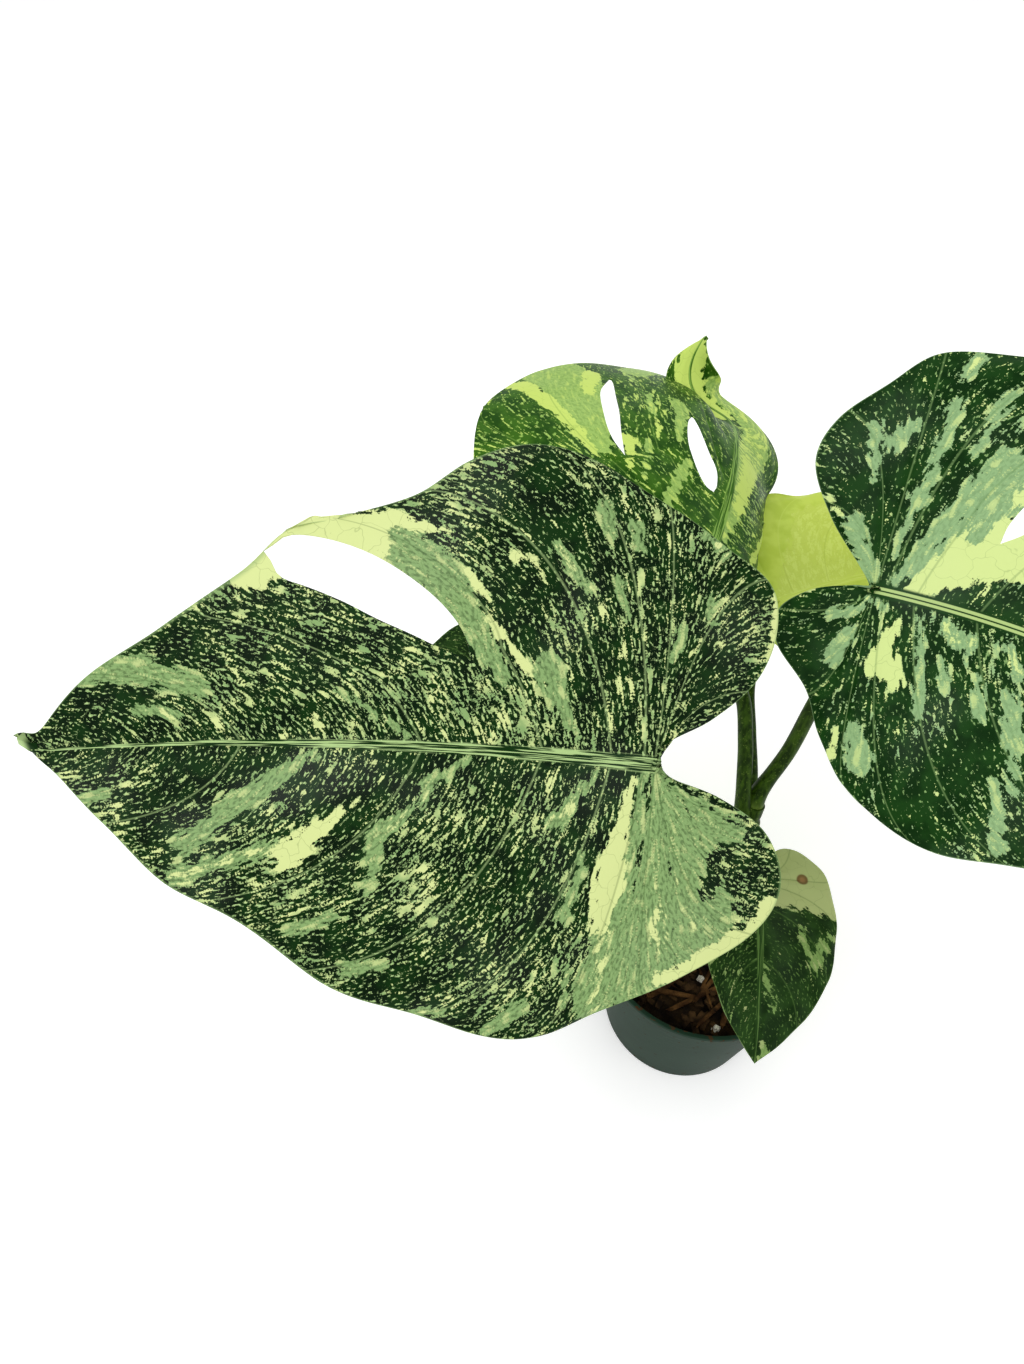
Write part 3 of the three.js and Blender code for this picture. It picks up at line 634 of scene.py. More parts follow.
def edit(piece: Piece, operator: Callable[..., object], **settings: object) -> None:
    """Run an operator on the whole of a piece.

    Args:
        piece: The piece.
        operator: An operator of edit mode.
        settings: What the operator is given.
    """
    only(piece)
    bpy.ops.object.mode_set(mode="EDIT")
    bpy.ops.mesh.select_all(action="SELECT")
    operator(**settings)
    bpy.ops.object.mode_set(mode="OBJECT")


def read(rows: bpy.types.bpy_prop_collection, name: str, width: int, kind: type = float) -> Array:
    """Read a property of all vertices, faces or corners of a mesh.

    Args:
        rows: The vertices, faces or corners.
        name: The property.
        width: How many numbers it has.
        kind: What numbers they are.

    Returns:
        The numbers, in rows of that width.
    """
    values = np.empty(len(rows) * width, kind)
    rows.foreach_get(name, values)
    return values.reshape(-1, width)


def store(piece: Piece, name: str, values: Array) -> None:
    """Store numbers or vectors as an attribute of a piece's vertices.

    Args:
        piece: The piece.
        name: The attribute's name.
        values: Its value at each vertex.
    """
    kind, key = ("FLOAT", "value") if values.ndim == 1 else ("FLOAT_VECTOR", "vector")
    attribute = piece.data.attributes.new(name, kind, "POINT")
    attribute.data.foreach_set(key, values.astype(np.float32).ravel())


def new_grid(name: str, across: int, along: int) -> tuple[Piece, Array, Array]:
    """Add a grid to be placed by code.

    Args:
        name: The piece's name.
        across: Vertices in the first direction.
        along: Vertices in the second direction.

    Returns:
        The piece, and each vertex's count in the two directions.
    """
    deselect()
    bpy.ops.mesh.primitive_grid_add(
        x_subdivisions=across - 1, y_subdivisions=along - 1, size=2, location=(0, 0, 0)
    )
    piece = bpy.context.active_object
    piece.name = piece.data.name = name
    share = (read(piece.data.vertices, "co", 3)[:, :2] + 1) / 2
    first, second = np.rint(share * (across - 1, along - 1)).astype(int).T
    return piece, first, second


def place_vertices(piece: Piece, places: Array) -> None:
    """Put a piece's vertices at places in millimetres."""
    piece.data.vertices.foreach_set("co", (places * MM).astype(np.float32).ravel())
    piece.data.update()


def new_round(name: str, outline: Array, sides: int) -> tuple[Piece, Array, Array]:
    """Add a grid and turn an outline round the axis.

    Args:
        name: The piece's name.
        outline: Radius and level of each of its points.
        sides: Vertices round the axis.

    Returns:
        The piece, the places for its vertices, and which point of the outline each one is.
    """
    piece, first, second = new_grid(name, len(outline), sides + 1)
    angle = 2 * math.pi * (second % sides) / sides
    radius, level = outline[first].T
    return piece, np.stack([radius * np.cos(angle), radius * np.sin(angle), level], -1), first


def weld(piece: Piece, reach: float = 0.01) -> None:
    """Merge vertices that lie closer together than a reach in millimetres."""
    edit(piece, bpy.ops.mesh.remove_doubles, threshold=reach * MM)


def smooth(piece: Piece, crease: float) -> None:
    """Shade a piece smooth, with creases past an angle in degrees."""
    only(piece)
    bpy.ops.object.shade_smooth_by_angle(angle=math.radians(crease))


def close(piece: Piece, crease: float, reach: float = 0.01) -> None:
    """Make a closed piece of a grid whose edges meet.

    Args:
        piece: The piece.
        crease: Angle in degrees past which it has creases.
        reach: How close vertices lie that are merged.
    """
    weld(piece, reach)
    edit(piece, bpy.ops.mesh.normals_make_consistent, inside=False)
    smooth(piece, crease)


def apply_modifiers(piece: Piece) -> None:
    """Apply all modifiers of a piece.

    Args:
        piece: The piece.
    """
    only(piece)
    for modifier in list(piece.modifiers):
        bpy.ops.object.modifier_apply(modifier=modifier.name)


def hand_over(piece: Piece, materials: Sequence[Material], slot: str, *nodes: str) -> None:
    """Dress a piece and let it ride on the plant and stand for its nodes.

    Args:
        piece: The finished piece.
        materials: Its materials.
        slot: The record's material slot, which is not used.
        nodes: The nodes that it replaces.
    """
    for material in materials:
        piece.data.materials.append(material)
    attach(piece, "root")
    if nodes:
        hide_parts(*nodes)
    LOG.info("%s: %d faces", piece.name, len(piece.data.polygons))


class Shader:
    """A material under construction, with short ways to add its nodes."""

    NOISE = "3D"

    def __init__(self, name: str) -> None:
        """Start a material with its surface shader.

        Args:
            name: The material's name.
        """
        self.material = bpy.data.materials.new(name)
        self.material.use_nodes = True
        self.tree = self.material.node_tree
        self.tree.nodes.clear()
        output = self.tree.nodes.new("ShaderNodeOutputMaterial")
        self.surface = self.tree.nodes.new("ShaderNodeBsdfPrincipled")
        self.tree.links.new(self.surface.outputs[0], output.inputs["Surface"])
        self.place = self.find_place()

    def find_place(self) -> Socket:
        """Find the place at which patterns are read: the one on the object."""
        return self.node("ShaderNodeTexCoord", {}, "Object")

    def node(
        self, kind: str, inputs: dict[str | int, Value], output: str | int = 0, **settings: object
    ) -> Socket:
        """Add a node.

        Args:
            kind: The node's type.
            inputs: What its inputs are fed with.
            output: Which output is wanted.
            settings: The node's settings.

        Returns:
            The output.
        """
        node = self.tree.nodes.new(kind)
        for key, value in settings.items():
            setattr(node, key, value)
        for key, value in inputs.items():
            self.feed(node.inputs[key], value)
        return node.outputs[output]

    def feed(self, socket: Socket, value: Value) -> None:
        """Link a socket to another or give it a value.

        Args:
            socket: The socket that is fed.
            value: An output, a number, or a tuple for a vector or colour.
        """
        if isinstance(value, Socket):
            self.tree.links.new(value, socket)
        else:
            socket.default_value = (*value, 1) if socket.type == "RGBA" else value

    def math(self, operation: str, *values: Value) -> Socket:
        """Do a sum with numbers."""
        return self.node("ShaderNodeMath", dict(enumerate(values)), operation=operation)

    def vector(self, operation: str, *values: Value, output: str = "Vector") -> Socket:
        """Do a sum with vectors."""
        inputs = dict(enumerate(values))
        return self.node("ShaderNodeVectorMath", inputs, output, operation=operation)

    def part(self, axis: str) -> Socket:
        """Read one axis of the place."""
        return self.node("ShaderNodeSeparateXYZ", {0: self.place}, axis)

    def attribute(self, name: str, output: str = "Fac") -> Socket:
        """Read an attribute of the mesh."""
        return self.node("ShaderNodeAttribute", {}, output, attribute_name=name)

    def swing(self, noise: Value, size: float, base: Value) -> Socket:
        """Add noise of a given size, swinging about nothing, to a base."""
        return self.math("MULTIPLY_ADD", self.math("SUBTRACT", noise, 0.5), size, base)

    def step(self, value: Value, low: float, high: float) -> Socket:
        """Rise smoothly from 0 at low to 1 at high, or fall where low is above high."""
        inputs = {"Value": value, "From Min": low, "From Max": high}
        return self.node("ShaderNodeMapRange", inputs, interpolation_type="SMOOTHSTEP")

    def mix(self, share: Value, first: Value, second: Value) -> Socket:
        """Mix two colours."""
        return self.node("ShaderNodeMix", {0: share, 6: first, 7: second}, 2, data_type="RGBA")

    def lay(self, colour: Value, over: Value, share: Value, strength: float = 1) -> Socket:
        """Lay a colour over another, with a share at each place and a strength."""
        return self.mix(self.math("MULTIPLY", share, strength), colour, over)

    def noise(
        self, scale: float, detail: float, place: Optional[Socket] = None, rough: float = 0.5,
        output: str | int = 0,
    ) -> Socket:
        """Read soft noise.

        Args:
            scale: How fine it is.
            detail: How many finer layers it has.
            place: Where to read it, if not at the usual place.
            rough: How strong the finer layers are.
            output: Which output is wanted.

        Returns:
            The noise, around 0.5.
        """
        where = self.place if place is None else place
        inputs = {"Vector": where, "Scale": scale, "Detail": detail, "Roughness": rough}
        return self.node("ShaderNodeTexNoise", inputs, output, noise_dimensions=self.NOISE)

    def drawn(self, scales: Triple, detail: float, scale: float = 1) -> Socket:
        """Read noise that is as fine along each axis as its scale says."""
        return self.noise(scale, detail, self.vector("MULTIPLY", self.place, scales))

    def finish(self, colour: Value, roughness: Value, specular: Value = 0.5) -> None:
        """Set the surface.

        Args:
            colour: Its colour.
            roughness: Its roughness.
            specular: How strongly it mirrors.
        """
        inputs = {"Base Color": colour, "Roughness": roughness, "Specular IOR Level": specular}
        for name, value in inputs.items():
            self.feed(self.surface.inputs[name], value)

    def bump(self, height: Value, strength: float, distance: float) -> None:
        """Roughen the surface by a height, to a share of the effect of a distance in metres."""
        inputs = {"Height": height, "Strength": strength, "Distance": distance}
        self.feed(self.surface.inputs["Normal"], self.node("ShaderNodeBump", inputs))


class LeafShader(Shader):
    """A leaf's material, with patterns on the flat sheet and streaks along the veins."""

    NOISE = "2D"

    def __init__(self, name: str, grain: float) -> None:
        """Start the material with its streaks.

        Args:
            name: The material's name.
            grain: How fine the finest streaks are, for each millimetre.
        """
        super().__init__(name)
        self.fine = self.streaks(reach=0.5, taps=3, scale=grain, detail=3)
        self.medium = self.streaks(reach=2.2, taps=5, scale=0.24, detail=4)
        self.sliver = self.streaks(reach=2.6, taps=5, scale=0.5, detail=2)

    def find_place(self) -> Socket:
        """Find the place on the flat sheet, in millimetres."""
        sheet = self.node("ShaderNodeUVMap", {}, uv_map="flat")
        return self.vector("MULTIPLY_ADD", sheet, (*SHEET_SIZE, 0), (*SHEET_ORIGIN, 0))

    def streaks(self, reach: float, taps: int, scale: float, detail: float) -> Socket:
        """Average noise along the veins, which draws it out.

        Args:
            reach: How far it is drawn each way.
            taps: How often it is read on the way.
            scale: How fine it is.
            detail: How many finer layers it has.

        Returns:
            The streaks, around 0.5.
        """
        flow = self.attribute("flow", "Vector")
        total = 0.0
        for shift in np.linspace(-reach, reach, taps):
            place = self.vector("MULTIPLY_ADD", flow, (float(shift),) * 3, self.place)
            total = self.math("ADD", self.noise(scale, detail, place, rough=0.68), total)
        return self.math("MULTIPLY", total, 1 / taps)


@dataclass(frozen=True)
class LeafFinish:
    """How a leaf blade is coloured."""

    name: str  # The finish's name
    deep: Colour  # The darkest ground
    ground: Colour  # The lighter ground
    speck: Colour  # The fine specks on the ground
    grey: Colour  # The grey green of a patch
    cream: Colour  # The cream of a patch
    vein: Colour  # Veins on the ground
    specks: float = 0.56  # Limit of the noise above which a fine speck lies; lower is denser
    flecks: float = 0.561  # The same for the larger flecks
    grain: float = 0.85  # How fine the specks are, for each millimetre
    ragged: float = 1.0  # How ragged the edges of the patches are
    dusk: float = 0.5  # How dark the mottling of a patch is
    twin_rib: bool = False  # Whether the midrib has two cream lines instead of many stripes
    spot: Optional[Triple] = None  # Flat place and radius of a brown spot, or none
    gloss: float = 0.06  # How strongly the surface mirrors
    roughness: float = 0.42  # The surface's roughness
    under_roughness: float = 0.6  # The lower face's roughness
    spot_rim: Colour = srgb(96, 62, 34)  # The spot's darker rim
    spot_heart: Colour = srgb(150, 116, 74)  # The spot's lighter middle

    def material(self, face: Face, side_veins: int) -> Material:
        """Make the material of one face of the blade.

        Args:
            face: Which face it is for.
            side_veins: Main side veins in each half.

        Returns:
            The material.
        """
        shader = LeafShader(f"{self.name}_{face.value}", self.grain)
        edge = shader.swing(shader.medium, 2 * self.ragged, shader.attribute("pale"))
        edge = shader.swing(shader.fine, 0.6 * self.ragged, edge)
        patch = shader.step(edge, low=0.48, high=0.52)
        colour = shader.mix(patch, self._ground(shader), self._pale(shader))
        colour = self._veined(shader, colour, patch, side_veins)
        rib = shader.step(shader.attribute("rib"), low=0.3, high=0.6)
        colour = shader.mix(rib, colour, self._rib(shader))
        margin = shader.step(shader.attribute("reach"), low=0.985, high=1)
        colour = shader.lay(colour, self.grey, margin, 0.6)
        if self.spot:
            *middle, radius = self.spot
            away = shader.vector("DISTANCE", shader.place, (*middle, 0), output="Value")
            disc = shader.step(away, low=radius, high=radius - 1)
            colour = shader.lay(colour, self.spot_rim, disc, 0.85)
            heart = shader.step(away, low=radius - 1.2, high=0.8)
            colour = shader.lay(colour, self.spot_heart, heart, 0.7)
        under = face is Face.UNDER
        if under:
            colour = shader.mix(0.35, colour, self.grey)
        sheen = shader.step(shader.noise(0.02, 1), low=0.5, high=0.75)
        gloss = shader.math("MULTIPLY_ADD", sheen, 2 * self.gloss, self.gloss)
        shader.finish(colour, self.under_roughness if under else self.roughness, gloss)
        height = shader.math("ADD", shader.fine, shader.medium)
        shader.bump(height, strength=0.25, distance=0.0004)
        return shader.material

    def _ground(self, shader: LeafShader) -> Socket:
        """Colour the dark ground with its specks and flecks.

        Args:
            shader: The leaf's shader.

        Returns:
            The ground's colour.
        """
        tone = shader.step(shader.noise(0.09, 3), low=0.35, high=0.65)
        broad = shader.noise(0.03, 2)
        speck = shader.swing(shader.medium, -0.25, shader.fine)
        speck = shader.swing(broad, -0.084, speck)
        speck = shader.step(speck, self.specks, self.specks + 0.035)
        fleck = shader.math("SUBTRACT", shader.medium, 0.012)
        fleck = shader.math("MAXIMUM", fleck, shader.sliver)
        fleck = shader.swing(shader.fine, 0.3, fleck)
        fleck = shader.swing(broad, -0.14, fleck)
        fleck = shader.step(fleck, self.flecks, self.flecks + 0.012)
        ground = shader.mix(speck, shader.mix(tone, self.deep, self.ground), self.speck)
        return shader.mix(fleck, ground, shader.mix(tone, self.grey, self.cream))

    def _pale(self, shader: LeafShader) -> Socket:
        """Colour the pale patches, mottled where they are grey green.

        Args:
            shader: The leaf's shader.

        Returns:
            The patches' colour.
        """
        dusk = shader.mix(self.dusk, self.grey, self.ground)
        mottle = shader.mix(shader.step(shader.fine, low=0.42, high=0.53), dusk, self.grey)
        light = shader.math("MAXIMUM", shader.medium, shader.sliver)
        mottle = shader.lay(mottle, self.cream, shader.step(light, low=0.54, high=0.6), 0.6)
        creamy = shader.swing(shader.medium, 2.4, shader.attribute("cream"))
        creamy = shader.swing(shader.fine, 1.2, creamy)
        return shader.mix(shader.step(creamy, low=0.44, high=0.56), mottle, self.cream)

    def _veined(self, shader: LeafShader, colour: Socket, patch: Socket, veins: int) -> Socket:
        """Draw the side veins, and the net between them on the patches.

        Args:
            shader: The leaf's shader.
            colour: The colour so far.
            patch: Where the pale patches are.
            veins: Main side veins in each half.

        Returns:
            The colour with its veins.
        """
        off = shader.math("MULTIPLY", shader.attribute("column"), float(veins))
        off = shader.math("MULTIPLY", shader.math("PINGPONG", off, 0.5), shader.attribute("gap"))
        vein = shader.step(shader.math("DIVIDE", off, float(veins)), low=0.7, high=0.1)
        colour = shader.lay(colour, shader.mix(patch, self.speck, self.vein), vein, 0.35)
        cells = 0.12
        bend = shader.noise(cells, 2, output="Color")
        bent = shader.vector("MULTIPLY_ADD", bend, (9.0,) * 3, shader.place)
        net = shader.node(
            "ShaderNodeTexVoronoi", {"Vector": bent, "Scale": cells}, "Distance",
            voronoi_dimensions="2D", feature="DISTANCE_TO_EDGE",
        )
        web = shader.math("MULTIPLY", shader.step(net, low=0.03, high=0), patch)
        return shader.lay(colour, self.vein, web, 0.28)

    def _rib(self, shader: LeafShader) -> Socket:
        """Colour the midrib, striped along its length.

        Args:
            shader: The leaf's shader.

        Returns:
            The midrib's colour.
        """
        if self.twin_rib:
            off = shader.math("SUBTRACT", shader.math("ABSOLUTE", shader.part("X")), 1.0)
            twin = shader.step(shader.math("ABSOLUTE", off), low=0.8, high=0.5)
            return shader.mix(twin, self.ground, shader.mix(0.5, self.speck, self.cream))
        stripes = shader.drawn((1.0, 0.03, 0.0), 2, scale=1.5)
        return shader.mix(shader.step(stripes, low=0.46, high=0.56), self.ground, self.speck)


MARBLED = LeafFinish(
    "marbled_leaf", deep=srgb(8, 28, 8), ground=srgb(20, 48, 16), speck=srgb(166, 194, 128),
    grey=srgb(131, 162, 103), cream=srgb(205, 217, 145), vein=srgb(52, 84, 36),
)
BRIGHT = LeafFinish(
    "bright_marbled_leaf", deep=srgb(34, 70, 16), ground=srgb(58, 98, 28),
    speck=srgb(128, 166, 76), grey=srgb(148, 182, 94), cream=srgb(192, 215, 106),
    vein=srgb(110, 148, 66), specks=0.57, flecks=0.585, grain=0.5, ragged=0.8, dusk=0.25,
    gloss=0.03,
)
CLEAR = LeafFinish(
    "clear_marbled_leaf", deep=srgb(14, 44, 10), ground=srgb(26, 60, 20),
    speck=srgb(130, 164, 100), grey=srgb(138, 172, 119), cream=srgb(202, 220, 140),
    vein=srgb(88, 124, 70), specks=0.585, flecks=0.582, grain=0.7, ragged=0.85, dusk=0.2,
    twin_rib=True,
)
GOLDEN = LeafFinish(
    "golden_leaf", deep=srgb(180, 202, 76), ground=srgb(192, 212, 88),
    speck=srgb(202, 220, 104), grey=srgb(190, 208, 90), cream=srgb(200, 218, 104),
    vein=srgb(160, 180, 64), specks=0.7, flecks=0.9, roughness=0.5,
)
SHADED = LeafFinish(
    "shaded_leaf", deep=srgb(24, 46, 16), ground=srgb(38, 64, 26), speck=srgb(84, 114, 58),
    grey=srgb(120, 150, 84), cream=srgb(168, 180, 119), vein=srgb(84, 110, 58), specks=0.57,
    flecks=0.62, grain=0.9, dusk=0.3, spot=(-21, -1, 3.4),
)


@dataclass
class Net:
    """A blade's vertices in columns and rows."""

    x: Array  # Flat distance out
    y: Array  # Flat distance along
    column: Array  # Share of the margin at which the vertex's vein ends
    t: Array  # Share of its vein, from the midrib to the margin


@dataclass
class Blade:
    """A leaf blade."""

    shape: LeafShape  # The leaf's sizes
    finish: LeafFinish  # How it is coloured
    slot: str  # The record's material slot
    thickness: float = 0.7  # The blade's thickness
    rib_depth: float = 2.0  # How far the midrib stands out below at the junction
    rib_width: float = 2.5  # Half width of the midrib there
    waves: float = 6.5  # Number of waves of the margin
    wave: float = 0.9  # How high they are, as a share of the relief
    # Half width and height of the soft ridge beside the midrib, and of the groove along it.
    ridge: Pair = (3.2, 0.9)
    groove: Pair = (0.9, 0.5)
    crease: float = 60  # Angle in degrees past which the blade has a crease

    # Steps of the thickness, and how far the edges of patches and of their tints reach each way.
    DEPTH_LEVELS = 40
    PATCH_EDGE = 6
    TINT_EDGE = 4

    def __post_init__(self) -> None:
        """Work out the blade's form."""
        self.form = BladeForm(self.shape)

    def columns(self) -> tuple[Array, Array, list[tuple[int, Side]]]:
        """List the columns, with two at each hole.

        Returns:
            Places of the columns, their edges, and each hole's first column with its side.
        """
        count = self.shape.grid[0]
        places = list(np.linspace(0, 1, count))
        edges = [0.0] * count
        strips: list[tuple[int, Side]] = []
        for hole in sorted(self.shape.holes, key=lambda item: item.at):
            nearest = int(np.argmin(np.abs(np.array(places) - hole.at)))
            places[nearest : nearest + 1] = [hole.at, hole.at]
            edges[nearest : nearest + 1] = [-1.0, 1.0]
            strips.append((nearest, hole.side))
        return np.array(places), np.array(edges), strips

    def rows(self) -> Array:
        """List the rows across both halves, closest at the midrib.

        Returns:
            Shares of the veins, -1 to 1.
        """
        share = np.linspace(0, 1, self.shape.grid[1] + 1)
        share = share * (0.45 + 0.55 * share)
        return np.concatenate([-share[:0:-1], share])

    def build(self) -> None:
        """Make the blade, dress it and hand it over."""
        places, edges, strips = self.columns()
        rows = self.rows()
        piece, first, second = new_grid(f"blade_{self.shape.name}_look", len(places), len(rows))
        column, t = np.meshgrid(places, np.abs(rows), indexing="ij")
        edge = np.repeat(edges[:, None], len(rows), 1)
        foot = self.form.foot_at(column)
        x, y, place = np.empty_like(t), np.empty_like(t), np.empty((*t.shape, 3))
        middle = len(rows) // 2
        for side, half in ((Side.LEFT, np.s_[:, :middle]), (Side.RIGHT, np.s_[:, middle:])):
            x[half], y[half] = self.form.flat(side, column[half], t[half], edge[half])
            place[half] = self.form.bent(side, x[half], y[half], foot[half])
        net = Net(x, y, column, t)
        lifted = place + self._normals(place) * self._height(net)[..., None]
        place_vertices(piece, lifted[first, second])
        for name, values in self._fields(net).items():
            store(piece, name, values[first, second])
        self._unfold(piece, np.stack([x, y], -1)[first, second])
        self._open_holes(piece, strips, first, second - middle)
        weld(piece)
        self._face_up(piece)
        self._thicken(piece)
        smooth(piece, self.crease)
        skins = [self.finish.material(face, self.shape.side_veins) for face in Face]
        hand_over(piece, skins, self.slot, f"blade_{self.shape.name}")

    @staticmethod
    def _normals(place: Array) -> Array:
        """Find the normals of a net of places, upward at the midrib."""
        normal = unit(np.cross(np.gradient(place, axis=1), np.gradient(place, axis=0)))
        return normal * np.sign(normal[:, normal.shape[1] // 2, 2].sum())

    def _height(self, net: Net) -> Array:
        """Work out the low relief: pillows between the side veins, waves and the midrib.

        Args:
            net: The blade's vertices.

        Returns:
            Height above the plain blade.
        """
        pillow = np.abs(np.sin(np.pi * net.column * self.shape.side_veins)) ** 0.8
        pillow *= smoothstep(net.t, 0.04, 0.35) * (1 - 0.75 * smoothstep(net.t, 0.7, 1))
        wave = np.sin(2 * np.pi * net.column * self.waves + 1.3) * smoothstep(net.t, 0.8, 1)
        out, along = np.abs(net.x), np.clip(net.y / self.shape.length, 0, 1)
        ridge = bell(out, self.ridge[0] * (1 - 0.7 * along)) * smoothstep(net.y, -4, 2)
        ridge *= self.ridge[1] * (1 - 0.8 * along)
        groove = bell(out, self.groove[0]) * (1 - along) * smoothstep(net.y, 4, 20)
        relief = self.shape.relief * (pillow + self.wave * wave)
        return relief + ridge - self.groove[1] * groove

    def _fields(self, net: Net) -> dict[str, Array]:
        """Work out what the finish reads at each vertex.

        Args:
            net: The blade's vertices.

        Returns:
            Its column, the columns' spacing, the midrib, the share of the vein, the patches
            and the vein's direction.
        """
        flow = [np.gradient(net.x, axis=1), np.gradient(net.y, axis=1), np.zeros_like(net.x)]
        gap = np.hypot(np.gradient(net.x, axis=0), np.gradient(net.y, axis=0))
        gap = gap / np.maximum(np.abs(np.gradient(net.column, axis=0)), 1e-6)
        width = self.rib_width * (1.15 - np.clip(net.y / self.shape.length, 0, 1)) ** 1.2
        rib = np.exp(-((np.abs(net.x) / width) ** 2) * 0.7) * smoothstep(net.y, -6, 1)
        pale, cream = self._patches(net)
        return {
            "column": net.column, "gap": gap, "rib": rib, "reach": net.t, "pale": pale,
            "cream": cream, "flow": unit(np.stack(flow, -1)),
        }

    def _patches(self, net: Net) -> tuple[Array, Array]:
        """Lay the patches of colour.

        Args:
            net: The blade's vertices.

        Returns:
            How far inside a pale patch each vertex lies, 0.5 on its edge, and how creamy it is.
        """
        pale, cream = np.zeros(net.x.shape), np.zeros(net.x.shape)
        for tint, *strokes in self.shape.patches:
            for x, y, half, *end in strokes:
                out, ahead, wider = np.subtract(end, (x, y, half))
                share = ((net.x - x) * out + (net.y - y) * ahead) / (out**2 + ahead**2)
                share = np.clip(share, 0, 1)
                away = np.hypot(net.x - x - share * out, net.y - y - share * ahead)
                inside = half + wider * share - away
                depth = np.clip(0.5 + inside / (2 * self.PATCH_EDGE), 0, 1)
                if tint is Tint.DARK:
                    pale = np.minimum(pale, 1 - depth)
                    continue
                tinted = smoothstep(inside, -self.TINT_EDGE, self.TINT_EDGE)
                cream = cream + (tint.value - cream) * tinted
                pale = np.maximum(pale, depth)
        return pale, cream

    @staticmethod
    def _unfold(piece: Piece, flat: Array) -> None:
        """Write the flat places into the UV map.

        Args:
            piece: The piece.
            flat: Flat place of each vertex.
        """
        corners = read(piece.data.loops, "vertex_index", 1, int)[:, 0]
        layer = piece.data.uv_layers[0] if piece.data.uv_layers else piece.data.uv_layers.new()
        layer.name = "flat"
        places = (flat[corners] - SHEET_ORIGIN) / SHEET_SIZE
        layer.data.foreach_set("uv", places.astype(np.float32).ravel())

    @staticmethod
    def _open_holes(
        piece: Piece, strips: list[tuple[int, Side]], first: Array, off: Array
    ) -> None:
        """Take out the faces between the two columns of each hole.

        Args:
            piece: The piece.
            strips: Each hole's first column and side.
            first: Each vertex's column count.
            off: Each vertex's row count from the midrib.
        """
        quads = read(piece.data.loops, "vertex_index", 1, int).reshape(-1, 4)
        low, high = first[quads].min(1), first[quads].max(1)
        rank = off[quads].mean(1)
        chosen = np.zeros(len(quads), bool)
        for start, side in strips:
            chosen |= (low == start) & (high == start + 1) & (rank * side.value > 0)
        if not chosen.any():
            return
        only(piece)
        bpy.ops.object.mode_set(mode="EDIT")
        bpy.ops.mesh.select_mode(type="FACE")
        bpy.ops.mesh.select_all(action="DESELECT")
        bpy.ops.object.mode_set(mode="OBJECT")
        piece.data.polygons.foreach_set("select", chosen)
        bpy.ops.object.mode_set(mode="EDIT")
        bpy.ops.mesh.delete(type="FACE")
        bpy.ops.mesh.select_mode(type="VERT")
        bpy.ops.object.mode_set(mode="OBJECT")

    def _face_up(self, piece: Piece) -> None:
        """Turn the blade's faces to its upper side, judged at a place on the midrib.

        Args:
            piece: The piece.
        """
        judged = np.array([self.shape.length * 0.2])
        place, _, _, up = (rows[0] for rows in self.form.rail.at(judged))
        away = read(piece.data.polygons, "center", 3) - place * MM
        nearest = int(np.argmin(np.linalg.norm(away, axis=1)))
        if np.dot(piece.data.polygons[nearest].normal, up) < 0:
            edit(piece, bpy.ops.mesh.flip_normals)

    def _thicken(self, piece: Piece) -> None:
        """Give the blade its thickness, with the midrib standing out below.

        Args:
            piece: The piece.
        """
        rib = read(piece.data.attributes["rib"].data, "value", 1)[:, 0]
        full = self.thickness + self.rib_depth
        levels = (self.thickness + self.rib_depth * rib**2) / full * self.DEPTH_LEVELS
        levels = np.rint(levels)
        group = piece.vertex_groups.new(name="depth")
        for level in np.unique(levels):
            chosen = np.nonzero(levels == level)[0].tolist()
            group.add(chosen, float(level / self.DEPTH_LEVELS), "REPLACE")
        solid = piece.modifiers.new("thickness", "SOLIDIFY")
        solid.thickness = full * MM
        solid.offset = -1
        solid.vertex_group = group.name
        solid.material_offset = 1
        apply_modifiers(piece)


class Route:
    """A smooth route through points, as a rounded chain of them."""

    SAMPLES = 400
    REACH = 0.01

    def __init__(self, points: Sequence[Sequence[float]]) -> None:
        """Run the route.

        Args:
            points: The points.
        """
        given = np.array(points, float)
        padded = np.vstack([2 * given[0] - given[1], given, 2 * given[-1] - given[-2]])
        gaps = np.sqrt(np.linalg.norm(np.diff(padded, axis=0), axis=1))
        t = np.linspace(0, 1, self.SAMPLES // (len(given) - 1) + 1)[:, None]
        lines = [given[:1]]
        for i in range(len(given) - 1):
            p, g = padded[i : i + 4], gaps[i : i + 3]
            first = (p[1] - p[0]) / g[0] - (p[2] - p[0]) / (g[0] + g[1]) + (p[2] - p[1]) / g[1]
            last = (p[2] - p[1]) / g[1] - (p[3] - p[1]) / (g[1] + g[2]) + (p[3] - p[2]) / g[2]
            lines.append(hermite(t, (p[1], p[2]), (first * g[1], last * g[1]))[1:])
        self.places = np.vstack(lines)
        steps = np.linalg.norm(np.diff(self.places, axis=0), axis=1)
        self.run = np.concatenate([[0], np.cumsum(steps)])

    def at(self, share: Array) -> Array:
        """Find places at shares of the run."""
        return between(np.asarray(share) * self.run[-1], self.run, self.places)

    def heading(self, share: float) -> Array:
        """Find the direction at a share of the run."""
        return unit(self.at(min(share + self.REACH, 1)) - self.at(max(share - self.REACH, 0)))


